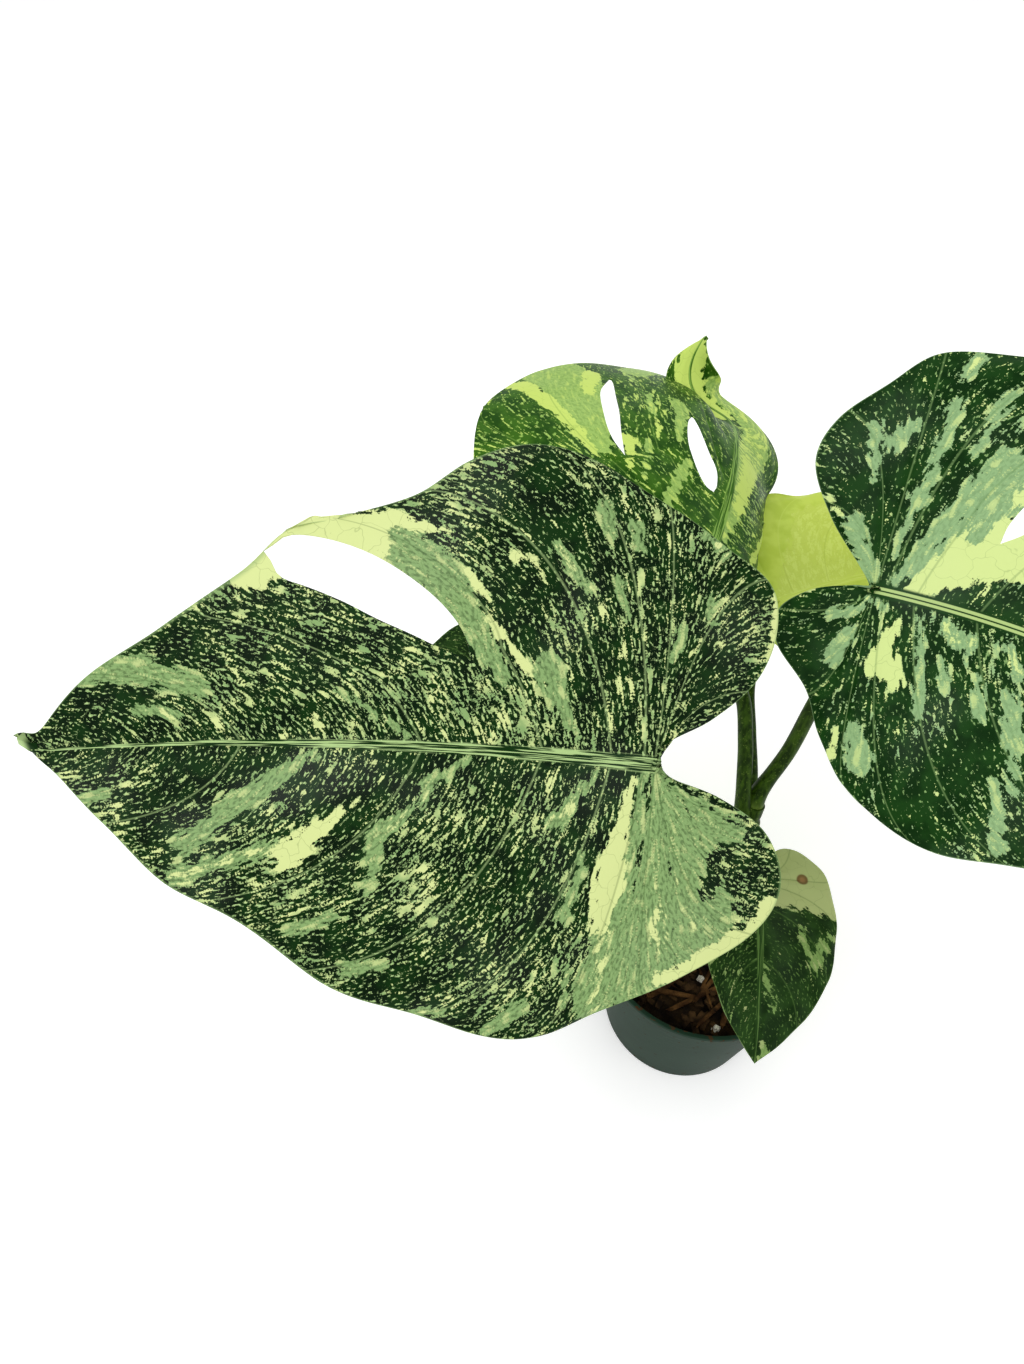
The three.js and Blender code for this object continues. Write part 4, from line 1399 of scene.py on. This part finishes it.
def rod(name: str, route: Route, shares: Array, radii: Array, sides: int) -> Piece:
    """Make a rod of changing radius along a route, with closed ends.

    Args:
        name: The piece's name.
        route: The route.
        shares: Shares of the run, one for each ring.
        radii: The rings' radii.
        sides: Vertices round a ring.

    Returns:
        The piece.
    """
    shares = np.concatenate([shares[:1], shares, shares[-1:]])
    radii = np.concatenate([[0], radii, [0]])
    piece, first, second = new_grid(name, len(shares), sides + 1)
    centres = route.at(shares)
    marks = np.linspace(0, 1, 200)
    headings = unit(between(shares, marks, np.gradient(route.at(marks), axis=0)))
    normal = np.cross(headings[0], (0.3, 1, 0.1))
    angle = 2 * math.pi * (np.arange(sides + 1) % sides)[:, None] / sides
    places = np.empty((len(shares), sides + 1, 3))
    for i, heading in enumerate(headings):
        normal = unit(normal - heading * (normal @ heading))
        ring = np.cos(angle) * normal + np.sin(angle) * np.cross(heading, normal)
        places[i] = centres[i] + radii[i] * ring
    place_vertices(piece, places[first, second])
    store(piece, "share", shares[first])
    close(piece, 50)
    return piece


@dataclass(frozen=True)
class StalkFinish:
    """How stem and petioles are coloured."""

    name: str  # The finish's name
    joints: tuple[float, ...]  # Shares of the run where the joints are
    joint_reach: float = 0.05  # How far their colour reaches
    shade: Colour = srgb(32, 52, 8)  # The darker green
    light: Colour = srgb(60, 86, 24)  # The lighter green
    joint: Colour = srgb(108, 132, 56)  # The colour at the joints
    streaks: Triple = (420, 420, 60)  # How fine the streaks are along each axis, for each metre
    roughness: float = 0.45  # The surface's roughness
    gloss: float = 0.08  # How strongly it mirrors

    def material(self) -> Material:
        """Make the material.

        Returns:
            The material.
        """
        shader = Shader(self.name)
        streak = shader.drawn(self.streaks, 3)
        colour = shader.mix(shader.step(streak, low=0.35, high=0.68), self.shade, self.light)
        for joint in self.joints:
            away = shader.math("SUBTRACT", shader.attribute("share"), joint)
            near = shader.step(shader.math("ABSOLUTE", away), self.joint_reach, 0)
            colour = shader.lay(colour, self.joint, near, 0.75)
        spots = shader.step(shader.noise(900, 2), low=0.62, high=0.7)
        colour = shader.lay(colour, self.joint, spots, 0.5)
        shader.finish(colour, self.roughness, self.gloss)
        shader.bump(streak, strength=0.3, distance=0.0003)
        return shader.material


@dataclass
class Stem:
    """The main stem, a short cane with a swollen ring under each leaf."""

    # Its route, from inside the potting mix to its end.
    axis: tuple[Point, ...] = (
        (0, 4, 66), (1, 6, 108), (4, 11, 146), (9, 19, 186), (14.5, 28, 214),
    )
    radii: tuple[float, ...] = (8.5, 8.2, 7.8, 7, 6)  # Its radius along the route
    # Shares of the run where the swollen rings are.
    rings: tuple[float, ...] = (0.42, 0.52, 0.62, 0.72, 0.82, 0.92)
    # Share of the run that a ring takes each way, and how far it stands out.
    swell: Pair = (0.02, 0.9)
    # How far above its ring a notch lies, its share of the run and its depth.
    notch: Triple = (0.025, 0.008, 0.5)
    sides: int = 40  # Vertices round it

    def __post_init__(self) -> None:
        """Run the stem's route."""
        self.route = Route(self.axis)

    def build(self) -> None:
        """Make the stem, dress it and hand it over."""
        shares = np.linspace(0, 1, 160)
        marks = np.linspace(0, 1, len(self.radii))
        radii = through(np.column_stack([marks, self.radii]), shares)[:, 0]
        for ring in self.rings:
            radii += self.swell[1] * bell(shares - ring, self.swell[0])
            radii -= self.notch[2] * bell(shares - ring - self.notch[0], self.notch[1])
        piece = rod("main_stem_look", self.route, shares, radii, self.sides)
        finish = StalkFinish("stem_skin", self.rings, joint_reach=0.02)
        hand_over(piece, [finish.material()], "stem", "main_stem")


@dataclass
class Petiole:
    """The stalk of one leaf, from the stem to the blade's root."""

    shape: LeafShape  # The leaf's sizes
    stem: Stem  # The stem that it grows from
    base_radius: float = 5.2  # Radius of the sheath at the stem
    low_radius: float = 4.0  # Radius above the sheath
    top_radius: float = 3.2  # Radius under the blade
    sheath: float = 0.16  # Share of the run that the sheath takes
    joint: float = 0.95  # Share of the run where the joint under the blade is
    # Share of the run that the joint takes each way, and how far it stands out.
    swell: Pair = (0.03, 0.7)
    seat: float = 3  # Distance along the midrib of the petiole's end
    ending: Pair = (12, 0.3)  # Last points' distances under the blade
    crown: Pair = (2, 7.3)  # How far it starts inside the stem's end and leaves it straight on
    sides: int = 32  # Vertices round it

    def build(self) -> None:
        """Make the petiole, dress it and hand it over."""
        rail = Rail(self.shape.junction, self.shape.length, self.shape.rail)
        seat, _, _, up = (rows[0] for rows in rail.at(np.array([self.seat])))
        points = list(self.shape.petiole)
        if self.shape.from_crown:
            end, heading = self.stem.route.at(1.0), self.stem.route.heading(1.0)
            points = [end - heading * self.crown[0], end + heading * self.crown[1], *points]
        route = Route([*points, *(seat - up * below for below in self.ending)])
        shares = np.linspace(0, 1, 120)
        narrowing = smoothstep(shares, 0, self.sheath)
        upper = np.clip((shares - self.sheath) / (1 - self.sheath), 0, 1)
        radii = np.where(
            shares < self.sheath,
            self.base_radius + (self.low_radius - self.base_radius) * narrowing,
            self.low_radius + (self.top_radius - self.low_radius) * upper,
        )
        radii += self.swell[1] * bell(shares - self.joint, self.swell[0])
        name = f"petiole_{self.shape.name}"
        piece = rod(f"{name}_look", route, shares, radii, self.sides)
        finish = StalkFinish(f"petiole_skin_{self.shape.name}", (0.0, self.joint, 1.0))
        hand_over(piece, [finish.material()], "petiole", name)


@dataclass(frozen=True)
class PlasticFinish:
    """The matte plastic, scuffed, with specks of soil at the rim and the foot."""

    dark: Colour = srgb(28, 46, 35)  # Its darker colour
    light: Colour = srgb(41, 61, 48)  # Its lighter colour
    scuff: Colour = srgb(92, 106, 96)  # The colour of its scuffs
    soil: Colour = srgb(64, 50, 34)  # The colour of the soil
    rim: Pair = (0.095, 0.12)  # Levels in metres between which the rim's soil begins
    foot: Pair = (0.03, 0)  # Levels between which the foot's soil begins

    def material(self) -> Material:
        """Make the material.

        Returns:
            The material.
        """
        shader = Shader("slate_plastic")
        colour = shader.mix(shader.noise(30, 3), self.dark, self.light)
        scuff = shader.step(shader.drawn((60, 60, 900), 2), low=0.62, high=0.7)
        colour = shader.lay(colour, self.scuff, scuff, 0.12)
        level = shader.part("Z")
        dirt = shader.noise(260, 4)
        amount = shader.math("MULTIPLY_ADD", shader.step(level, *self.rim), 0.1, dirt)
        amount = shader.math("MULTIPLY_ADD", shader.step(level, *self.foot), 0.05, amount)
        soiled = shader.step(amount, low=0.68, high=0.72)
        colour = shader.mix(soiled, colour, self.soil)
        shader.finish(colour, shader.math("MULTIPLY_ADD", soiled, 0.35, 0.5), 0.03)
        shader.bump(shader.noise(1500, 1), strength=0.12, distance=0.0002)
        return shader.material


@dataclass
class NurseryPot:
    """The round pot of thin moulded plastic."""

    finish: PlasticFinish = PlasticFinish()  # How it is coloured
    height: float = 120  # Its height
    rim_radius: float = 65  # Outer radius of the lip
    base_radius: float = 49.5  # Outer radius at the foot
    wall: float = 1.4  # Thickness of the wall
    floor: float = 1.8  # Thickness of the floor
    lip_height: float = 3.5  # Height of the rolled lip
    lip_rise: float = 1.1  # How far the lip stands out
    lip_round: float = 0.8  # Radius of the lip's upper edge
    drain_holes: int = 6  # Number of drain holes
    drain_radius: float = 4  # Their radius
    drain_circle: float = 31  # Radius of the circle that they lie on
    sides: int = 144  # Vertices round the pot
    drain_sides: int = 32  # Vertices round a drain hole

    def inner_radius(self, level: float) -> float:
        """Find the inner radius at a level.

        Args:
            level: The level.

        Returns:
            The radius.
        """
        top = self.rim_radius - self.lip_rise - self.wall
        low = self.base_radius - self.wall
        return low + (top - low) * min(max(level / self.height, 0), 1)

    def profile(self) -> Array:
        """List the wall's outline from the axis below to the axis inside.

        Returns:
            Radius and level of its points.
        """
        top, floor, lip = self.height, self.floor, self.lip_round
        under = top - self.lip_height
        beside = (self.drain_circle + 8, self.drain_circle - 8)
        outer = [(AXIS, 0), (beside[1], 0), (beside[0], 0)]
        outer += [(self.base_radius - 1.5, 0), (self.base_radius - 0.5, 0.4)]
        for level in (1.5, 3, 60, under - 2, under - 1):
            outer.append((self.inner_radius(level) + self.wall, level))
        outer += [(self.rim_radius - 0.4, under - 0.1), (self.rim_radius, under + 0.4)]
        for angle in np.linspace(math.pi / 2, 0, 5):
            out, up = lip * math.sin(angle), lip * math.cos(angle)
            outer.append((self.rim_radius - lip + out, top - lip + up))
        rim = self.inner_radius(top)
        inside = [(rim + 0.6, top), (rim + 0.1, top - 0.5)]
        inside += [(self.inner_radius(level), level) for level in (100, floor + 1)]
        inside += [(self.inner_radius(floor) - 1, floor)]
        return np.array(outer + inside + [(radius, floor) for radius in (*beside, AXIS)])

    def build(self) -> None:
        """Make the pot, dress it and hand it over."""
        piece, places, _ = new_round("nursery_pot_look", self.profile(), self.sides)
        place_vertices(piece, places)
        weld(piece, 0.05)
        edit(piece, bpy.ops.mesh.normals_make_consistent, inside=False)
        self._drill(piece)
        smooth(piece, 35)
        hand_over(piece, [self.finish.material()], "pot", "nursery_pot")

    def _drill(self, piece: Piece) -> None:
        """Cut the drain holes through the floor.

        Args:
            piece: The pot.
        """
        drills = []
        for index in range(self.drain_holes):
            angle = 2 * math.pi * (index + 0.5) / self.drain_holes
            out, aside = math.cos(angle), math.sin(angle)
            deselect()
            bpy.ops.mesh.primitive_cylinder_add(
                vertices=self.drain_sides, radius=self.drain_radius * MM, depth=self.floor * 4 * MM,
                location=(self.drain_circle * MM * out, self.drain_circle * MM * aside, 0),
            )
            drills.append(bpy.context.active_object)
        for drill in drills:
            cut = piece.modifiers.new("drain", "BOOLEAN")
            cut.operation, cut.solver, cut.object = "DIFFERENCE", "EXACT", drill
        apply_modifiers(piece)
        for drill in drills:
            bpy.data.objects.remove(drill)


@dataclass(frozen=True)
class EarthFinish:
    """A rough earthy finish."""

    name: str  # Its name
    dark: Colour  # Its darker colour
    light: Colour  # Its lighter colour
    roughness: float = 0.85  # The surface's roughness
    gloss: float = 0.1  # How strongly it mirrors

    def material(self) -> Material:
        """Make the material.

        Returns:
            The material.
        """
        shader = Shader(self.name)
        coarse, fine = shader.noise(120, 4), shader.noise(900, 3)
        colour = shader.mix(shader.step(coarse, low=0.35, high=0.7), self.dark, self.light)
        colour = shader.lay(colour, self.dark, shader.step(fine, low=0.5, high=0.7), 0.45)
        shader.finish(colour, self.roughness, self.gloss)
        shader.bump(shader.math("ADD", coarse, fine), strength=0.6, distance=0.0008)
        return shader.material


@dataclass(frozen=True)
class PittedFinish:
    """The finish of the pale, pitted grains."""

    name: str  # Its name
    dark: Colour  # The colour in the pits
    light: Colour  # The colour outside them
    roughness: float = 0.9  # The surface's roughness

    def material(self) -> Material:
        """Make the material.

        Returns:
            The material.
        """
        shader = Shader(self.name)
        pits = shader.noise(1400, 3)
        colour = shader.mix(shader.step(pits, low=0.3, high=0.6), self.dark, self.light)
        shader.finish(colour, self.roughness)
        shader.bump(pits, strength=0.6, distance=0.0006)
        return shader.material


@dataclass(frozen=True)
class Litter:
    """One kind of rough bits that lie on the mix."""

    name: str  # The name of their piece
    count: int  # How many there are
    sizes: tuple[Pair, ...]  # Least and greatest length, width and thickness
    roll: float  # How far they may tip, in radians
    finish: EarthFinish | PittedFinish  # How they are coloured


BARK = Litter(
    "bark_chips", 300, ((3, 8.5), (2, 5), (0.9, 2.4)), 0.55,
    EarthFinish("bark", srgb(28, 20, 12), srgb(74, 55, 34)),
)
STICKS = Litter(
    "sticks", 60, ((14, 38), (1.8, 3.4), (1.6, 2.6)), 0.12,
    EarthFinish("red_brown_wood", srgb(46, 30, 16), srgb(98, 70, 40)),
)
GRAINS = Litter(
    "perlite_grains", 24, ((2.0, 4.2), (1.8, 3.8), (1.6, 3.2)), 1.0,
    PittedFinish("perlite", srgb(120, 112, 96), srgb(206, 202, 188)),
)


@dataclass
class PottingMix:
    """The potting mix, with bark, sticks and pale grains on its top."""

    pot: NurseryPot  # The pot that it fills
    stem: Stem  # The stem that stands in it
    # How it is coloured.
    finish: EarthFinish = EarthFinish("moist_mix", srgb(18, 13, 8), srgb(46, 34, 20))
    litter: tuple[Litter, ...] = (BARK, STICKS, GRAINS)  # What lies on it
    edge_level: float = 106  # Level of the top at the wall
    crown: float = 4  # How far the middle stands higher
    # Size and height of the crumbs of its top.
    crumbs: tuple[Pair, ...] = ((9, 1.0), (4.2, 0.8), (2.1, 0.55))
    rings: int = 90  # Rings of its top
    sides: int = 200  # Vertices round them
    seed: int = 11  # Start of the draws
    wear: float = 0.05  # How uneven a bit is
    taper: float = 0.35  # By which share it may taper
    stem_gap: float = 10  # How far it stays from the stem's middle

    def __post_init__(self) -> None:
        """Start the draws."""
        self.draw = np.random.default_rng(self.seed)
        self.reach = self.pot.inner_radius(self.edge_level) - 0.4

    def level(self, radius: Array) -> Array:
        """Find the top's level at a distance from the axis."""
        return self.edge_level + self.crown * (1 - np.clip(radius / self.reach, 0, 1) ** 2)

    def build(self) -> None:
        """Make the mix and what lies on it, dress it and hand it over."""
        hand_over(self._soil(), [self.finish.material()], "mix", "potting_mix")
        for kind in self.litter:
            hand_over(self._scatter(kind), [kind.finish.material()], "mix")

    def _soil(self) -> Piece:
        """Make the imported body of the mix, with a crumbly top.

        Returns:
            The body.
        """
        bottom = self.pot.floor + 0.4
        radius = np.linspace(self.reach, AXIS, self.rings)
        low = [(AXIS, bottom), (self.pot.inner_radius(bottom) - 0.6, bottom)]
        outline = np.vstack([low, np.column_stack([radius, self.level(radius)])])
        piece, places, point = new_round("potting_mix_look", outline, self.sides)
        x, y = places[:, 0], places[:, 1]
        crumb = np.zeros_like(x)
        for size, rise in self.crumbs:
            for _ in range(5):
                turn, phase = self.draw.random() * math.pi, self.draw.random(2) * 6.28
                along = (x * math.cos(turn) + y * math.sin(turn)) / size * 2.2
                across = (y * math.cos(turn) - x * math.sin(turn)) / size * 2.2
                crumb += rise / 3 * np.sin(along + phase[0]) * np.sin(across + phase[1])
        inner = smoothstep(self.reach - outline[point, 0], 0, 4) * (point >= len(low))
        places[:, 2] += crumb * inner
        place_vertices(piece, places)
        close(piece, 60, 0.05)
        return piece

    def _scatter(self, kind: Litter) -> Piece:
        """Scatter one kind of bits over the top.

        Args:
            kind: The kind.

        Returns:
            The bits, joined.
        """
        deselect()
        bpy.ops.mesh.primitive_cube_add(size=1)
        bit = bpy.context.active_object
        edit(bit, bpy.ops.mesh.subdivide, number_cuts=1)
        bevel = bit.modifiers.new("worn", "BEVEL")
        bevel.width = 0.12
        bevel.segments = 1
        apply_modifiers(bit)
        plain = read(bit.data.vertices, "co", 3)
        bits = []
        for _ in range(kind.count):
            copy = bit.copy()
            copy.data = bit.data.copy()
            bpy.context.collection.objects.link(copy)
            place_vertices(copy, self._bit(plain, kind))
            bits.append(copy)
        bpy.data.objects.remove(bit)
        deselect()
        for copy in bits:
            copy.select_set(True)
        bpy.context.view_layer.objects.active = bits[0]
        bpy.ops.object.join()
        piece = bpy.context.active_object
        piece.name = piece.data.name = kind.name
        smooth(piece, 30)
        return piece

    def _bit(self, plain: Array, kind: Litter) -> Array:
        """Shape and lay one bit.

        Args:
            plain: The plain bit's vertices.
            kind: Its kind.

        Returns:
            Its vertices on the top of the mix.
        """
        draw = self.draw
        sizes = [low + (high - low) * draw.random() for low, high in kind.sizes]
        rough = plain + draw.normal(0, self.wear, plain.shape)
        taper = 1 - self.taper * draw.random() * (rough[:, :1] + 0.5)
        body = rough * sizes * np.hstack([np.ones_like(taper), taper, taper])
        turn, tip, lean = draw.random() * 2 * math.pi, *(kind.roll * (draw.random(2) - 0.5))
        for angle, axes in ((lean, [1, 2]), (tip, [2, 0]), (turn, [0, 1])):
            cos, sin = math.cos(angle), math.sin(angle)
            body[:, axes] = body[:, axes] @ np.array([[cos, sin], [-sin, cos]])
        foot = self.stem.axis[1][:2]
        limit = self.reach - 1 - sizes[0] / 2
        while True:
            radius = limit * math.sqrt(draw.random())
            angle = 2 * math.pi * draw.random()
            spot = np.array([radius * math.cos(angle), radius * math.sin(angle)])
            if np.hypot(*(spot - foot)) > self.stem_gap + sizes[0] / 2:
                break
            limit = self.reach - 1.5 - sizes[0] / 3
        lift = sizes[2] * (0.15 + 0.4 * draw.random()) + 0.3
        return body + (*spot, float(self.level(radius)) + lift)


@dataclass(frozen=True)
class Lamp:
    """A soft square light."""

    name: str  # Its name
    place: Point  # Where it hangs, in metres
    turn: Pair  # How it is tipped about X and Y, in degrees
    size: float  # The length of its sides in metres
    power: float  # Its power in watts

    def build(self) -> None:
        """Hang the light."""
        turn = [math.radians(angle) for angle in self.turn]
        bpy.ops.object.light_add(type="AREA", location=self.place, rotation=(*turn, 0))
        light = bpy.context.active_object
        light.name = self.name
        light.data.size = self.size
        light.data.energy = self.power


@dataclass
class Studio:
    """The floor, the lights and the camera."""

    eye: Point = (-114, -231, 636)  # The camera's place
    pitch: float = 51  # How far the camera looks down, in degrees
    focal: float = 925  # Focal length in pixels of the photograph's frame
    frame_height: float = 1364  # Height of the photograph's frame in pixels
    sensor: float = 36  # Width of the camera's sensor
    floor_size: float = 14  # Length of the floor's sides in metres
    floor_glow: float = 0.3  # How much the floor shines by itself
    daylight: float = 0.7  # Brightness of the surroundings
    # The lights.
    lamps: tuple[Lamp, ...] = (
        Lamp("key", (-0.7, -0.5, 1.7), (30, -22), 1.4, 13),
        Lamp("fill", (0.9, -0.9, 1.3), (38, 42), 1.2, 3),
        Lamp("back", (0.2, 1.3, 1.5), (-40, 8), 1.3, 5),
    )

    def build(self) -> None:
        """Set up floor, lights and camera."""
        self._lay_floor()
        for lamp in self.lamps:
            lamp.build()
        world = bpy.data.worlds.new("studio")
        world.use_nodes = True
        background = world.node_tree.nodes["Background"]
        background.inputs["Color"].default_value = (1, 1, 1, 1)
        background.inputs["Strength"].default_value = self.daylight
        bpy.context.scene.world = world
        place = [value * MM for value in self.eye]
        bpy.ops.object.camera_add(location=place, rotation=(math.radians(90 - self.pitch), 0, 0))
        camera = bpy.context.active_object
        camera.data.sensor_fit = "AUTO"
        camera.data.sensor_width = self.sensor
        camera.data.lens = self.focal / self.frame_height * self.sensor
        camera.data.clip_start = 0.02
        bpy.context.scene.camera = camera
        bpy.context.scene.view_settings.view_transform = "Standard"

    def _lay_floor(self) -> None:
        """Lay the pale floor."""
        deselect()
        bpy.ops.mesh.primitive_plane_add(size=self.floor_size, location=(0, 0, 0))
        floor = bpy.context.active_object
        floor.name = "floor"
        shader = Shader("pale_floor")
        tone = shader.mix(shader.noise(2, 2), (0.93, 0.93, 0.93), (0.96, 0.96, 0.96))
        shader.finish(tone, 0.9)
        shader.feed(shader.surface.inputs["Emission Color"], tone)
        shader.feed(shader.surface.inputs["Emission Strength"], self.floor_glow)
        floor.data.materials.append(shader.material)


def main() -> None:
    """Build the plant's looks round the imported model."""
    logging.basicConfig(level=logging.INFO, format="%(name)s: %(message)s")
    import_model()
    Studio().build()
    pot, stem = NurseryPot(), Stem()
    pot.build()
    PottingMix(pot, stem).build()
    stem.build()
    leaves = (
        (FRONT_LEFT, MARBLED, "marbled_leaf"),
        (BACK_LEFT, BRIGHT, "marbled_leaf"),
        (FRONT_RIGHT, CLEAR, "marbled_leaf"),
        (YELLOW, GOLDEN, "yellow_leaf"),
        (BACK_LOW, SHADED, "dark_leaf"),
        (SMALL_FRONT, SHADED, "dark_leaf"),
    )
    for shape, finish, slot in leaves:
        Blade(shape, finish, slot).build()
        Petiole(shape, stem).build()


if __name__ == "__main__":
    main()
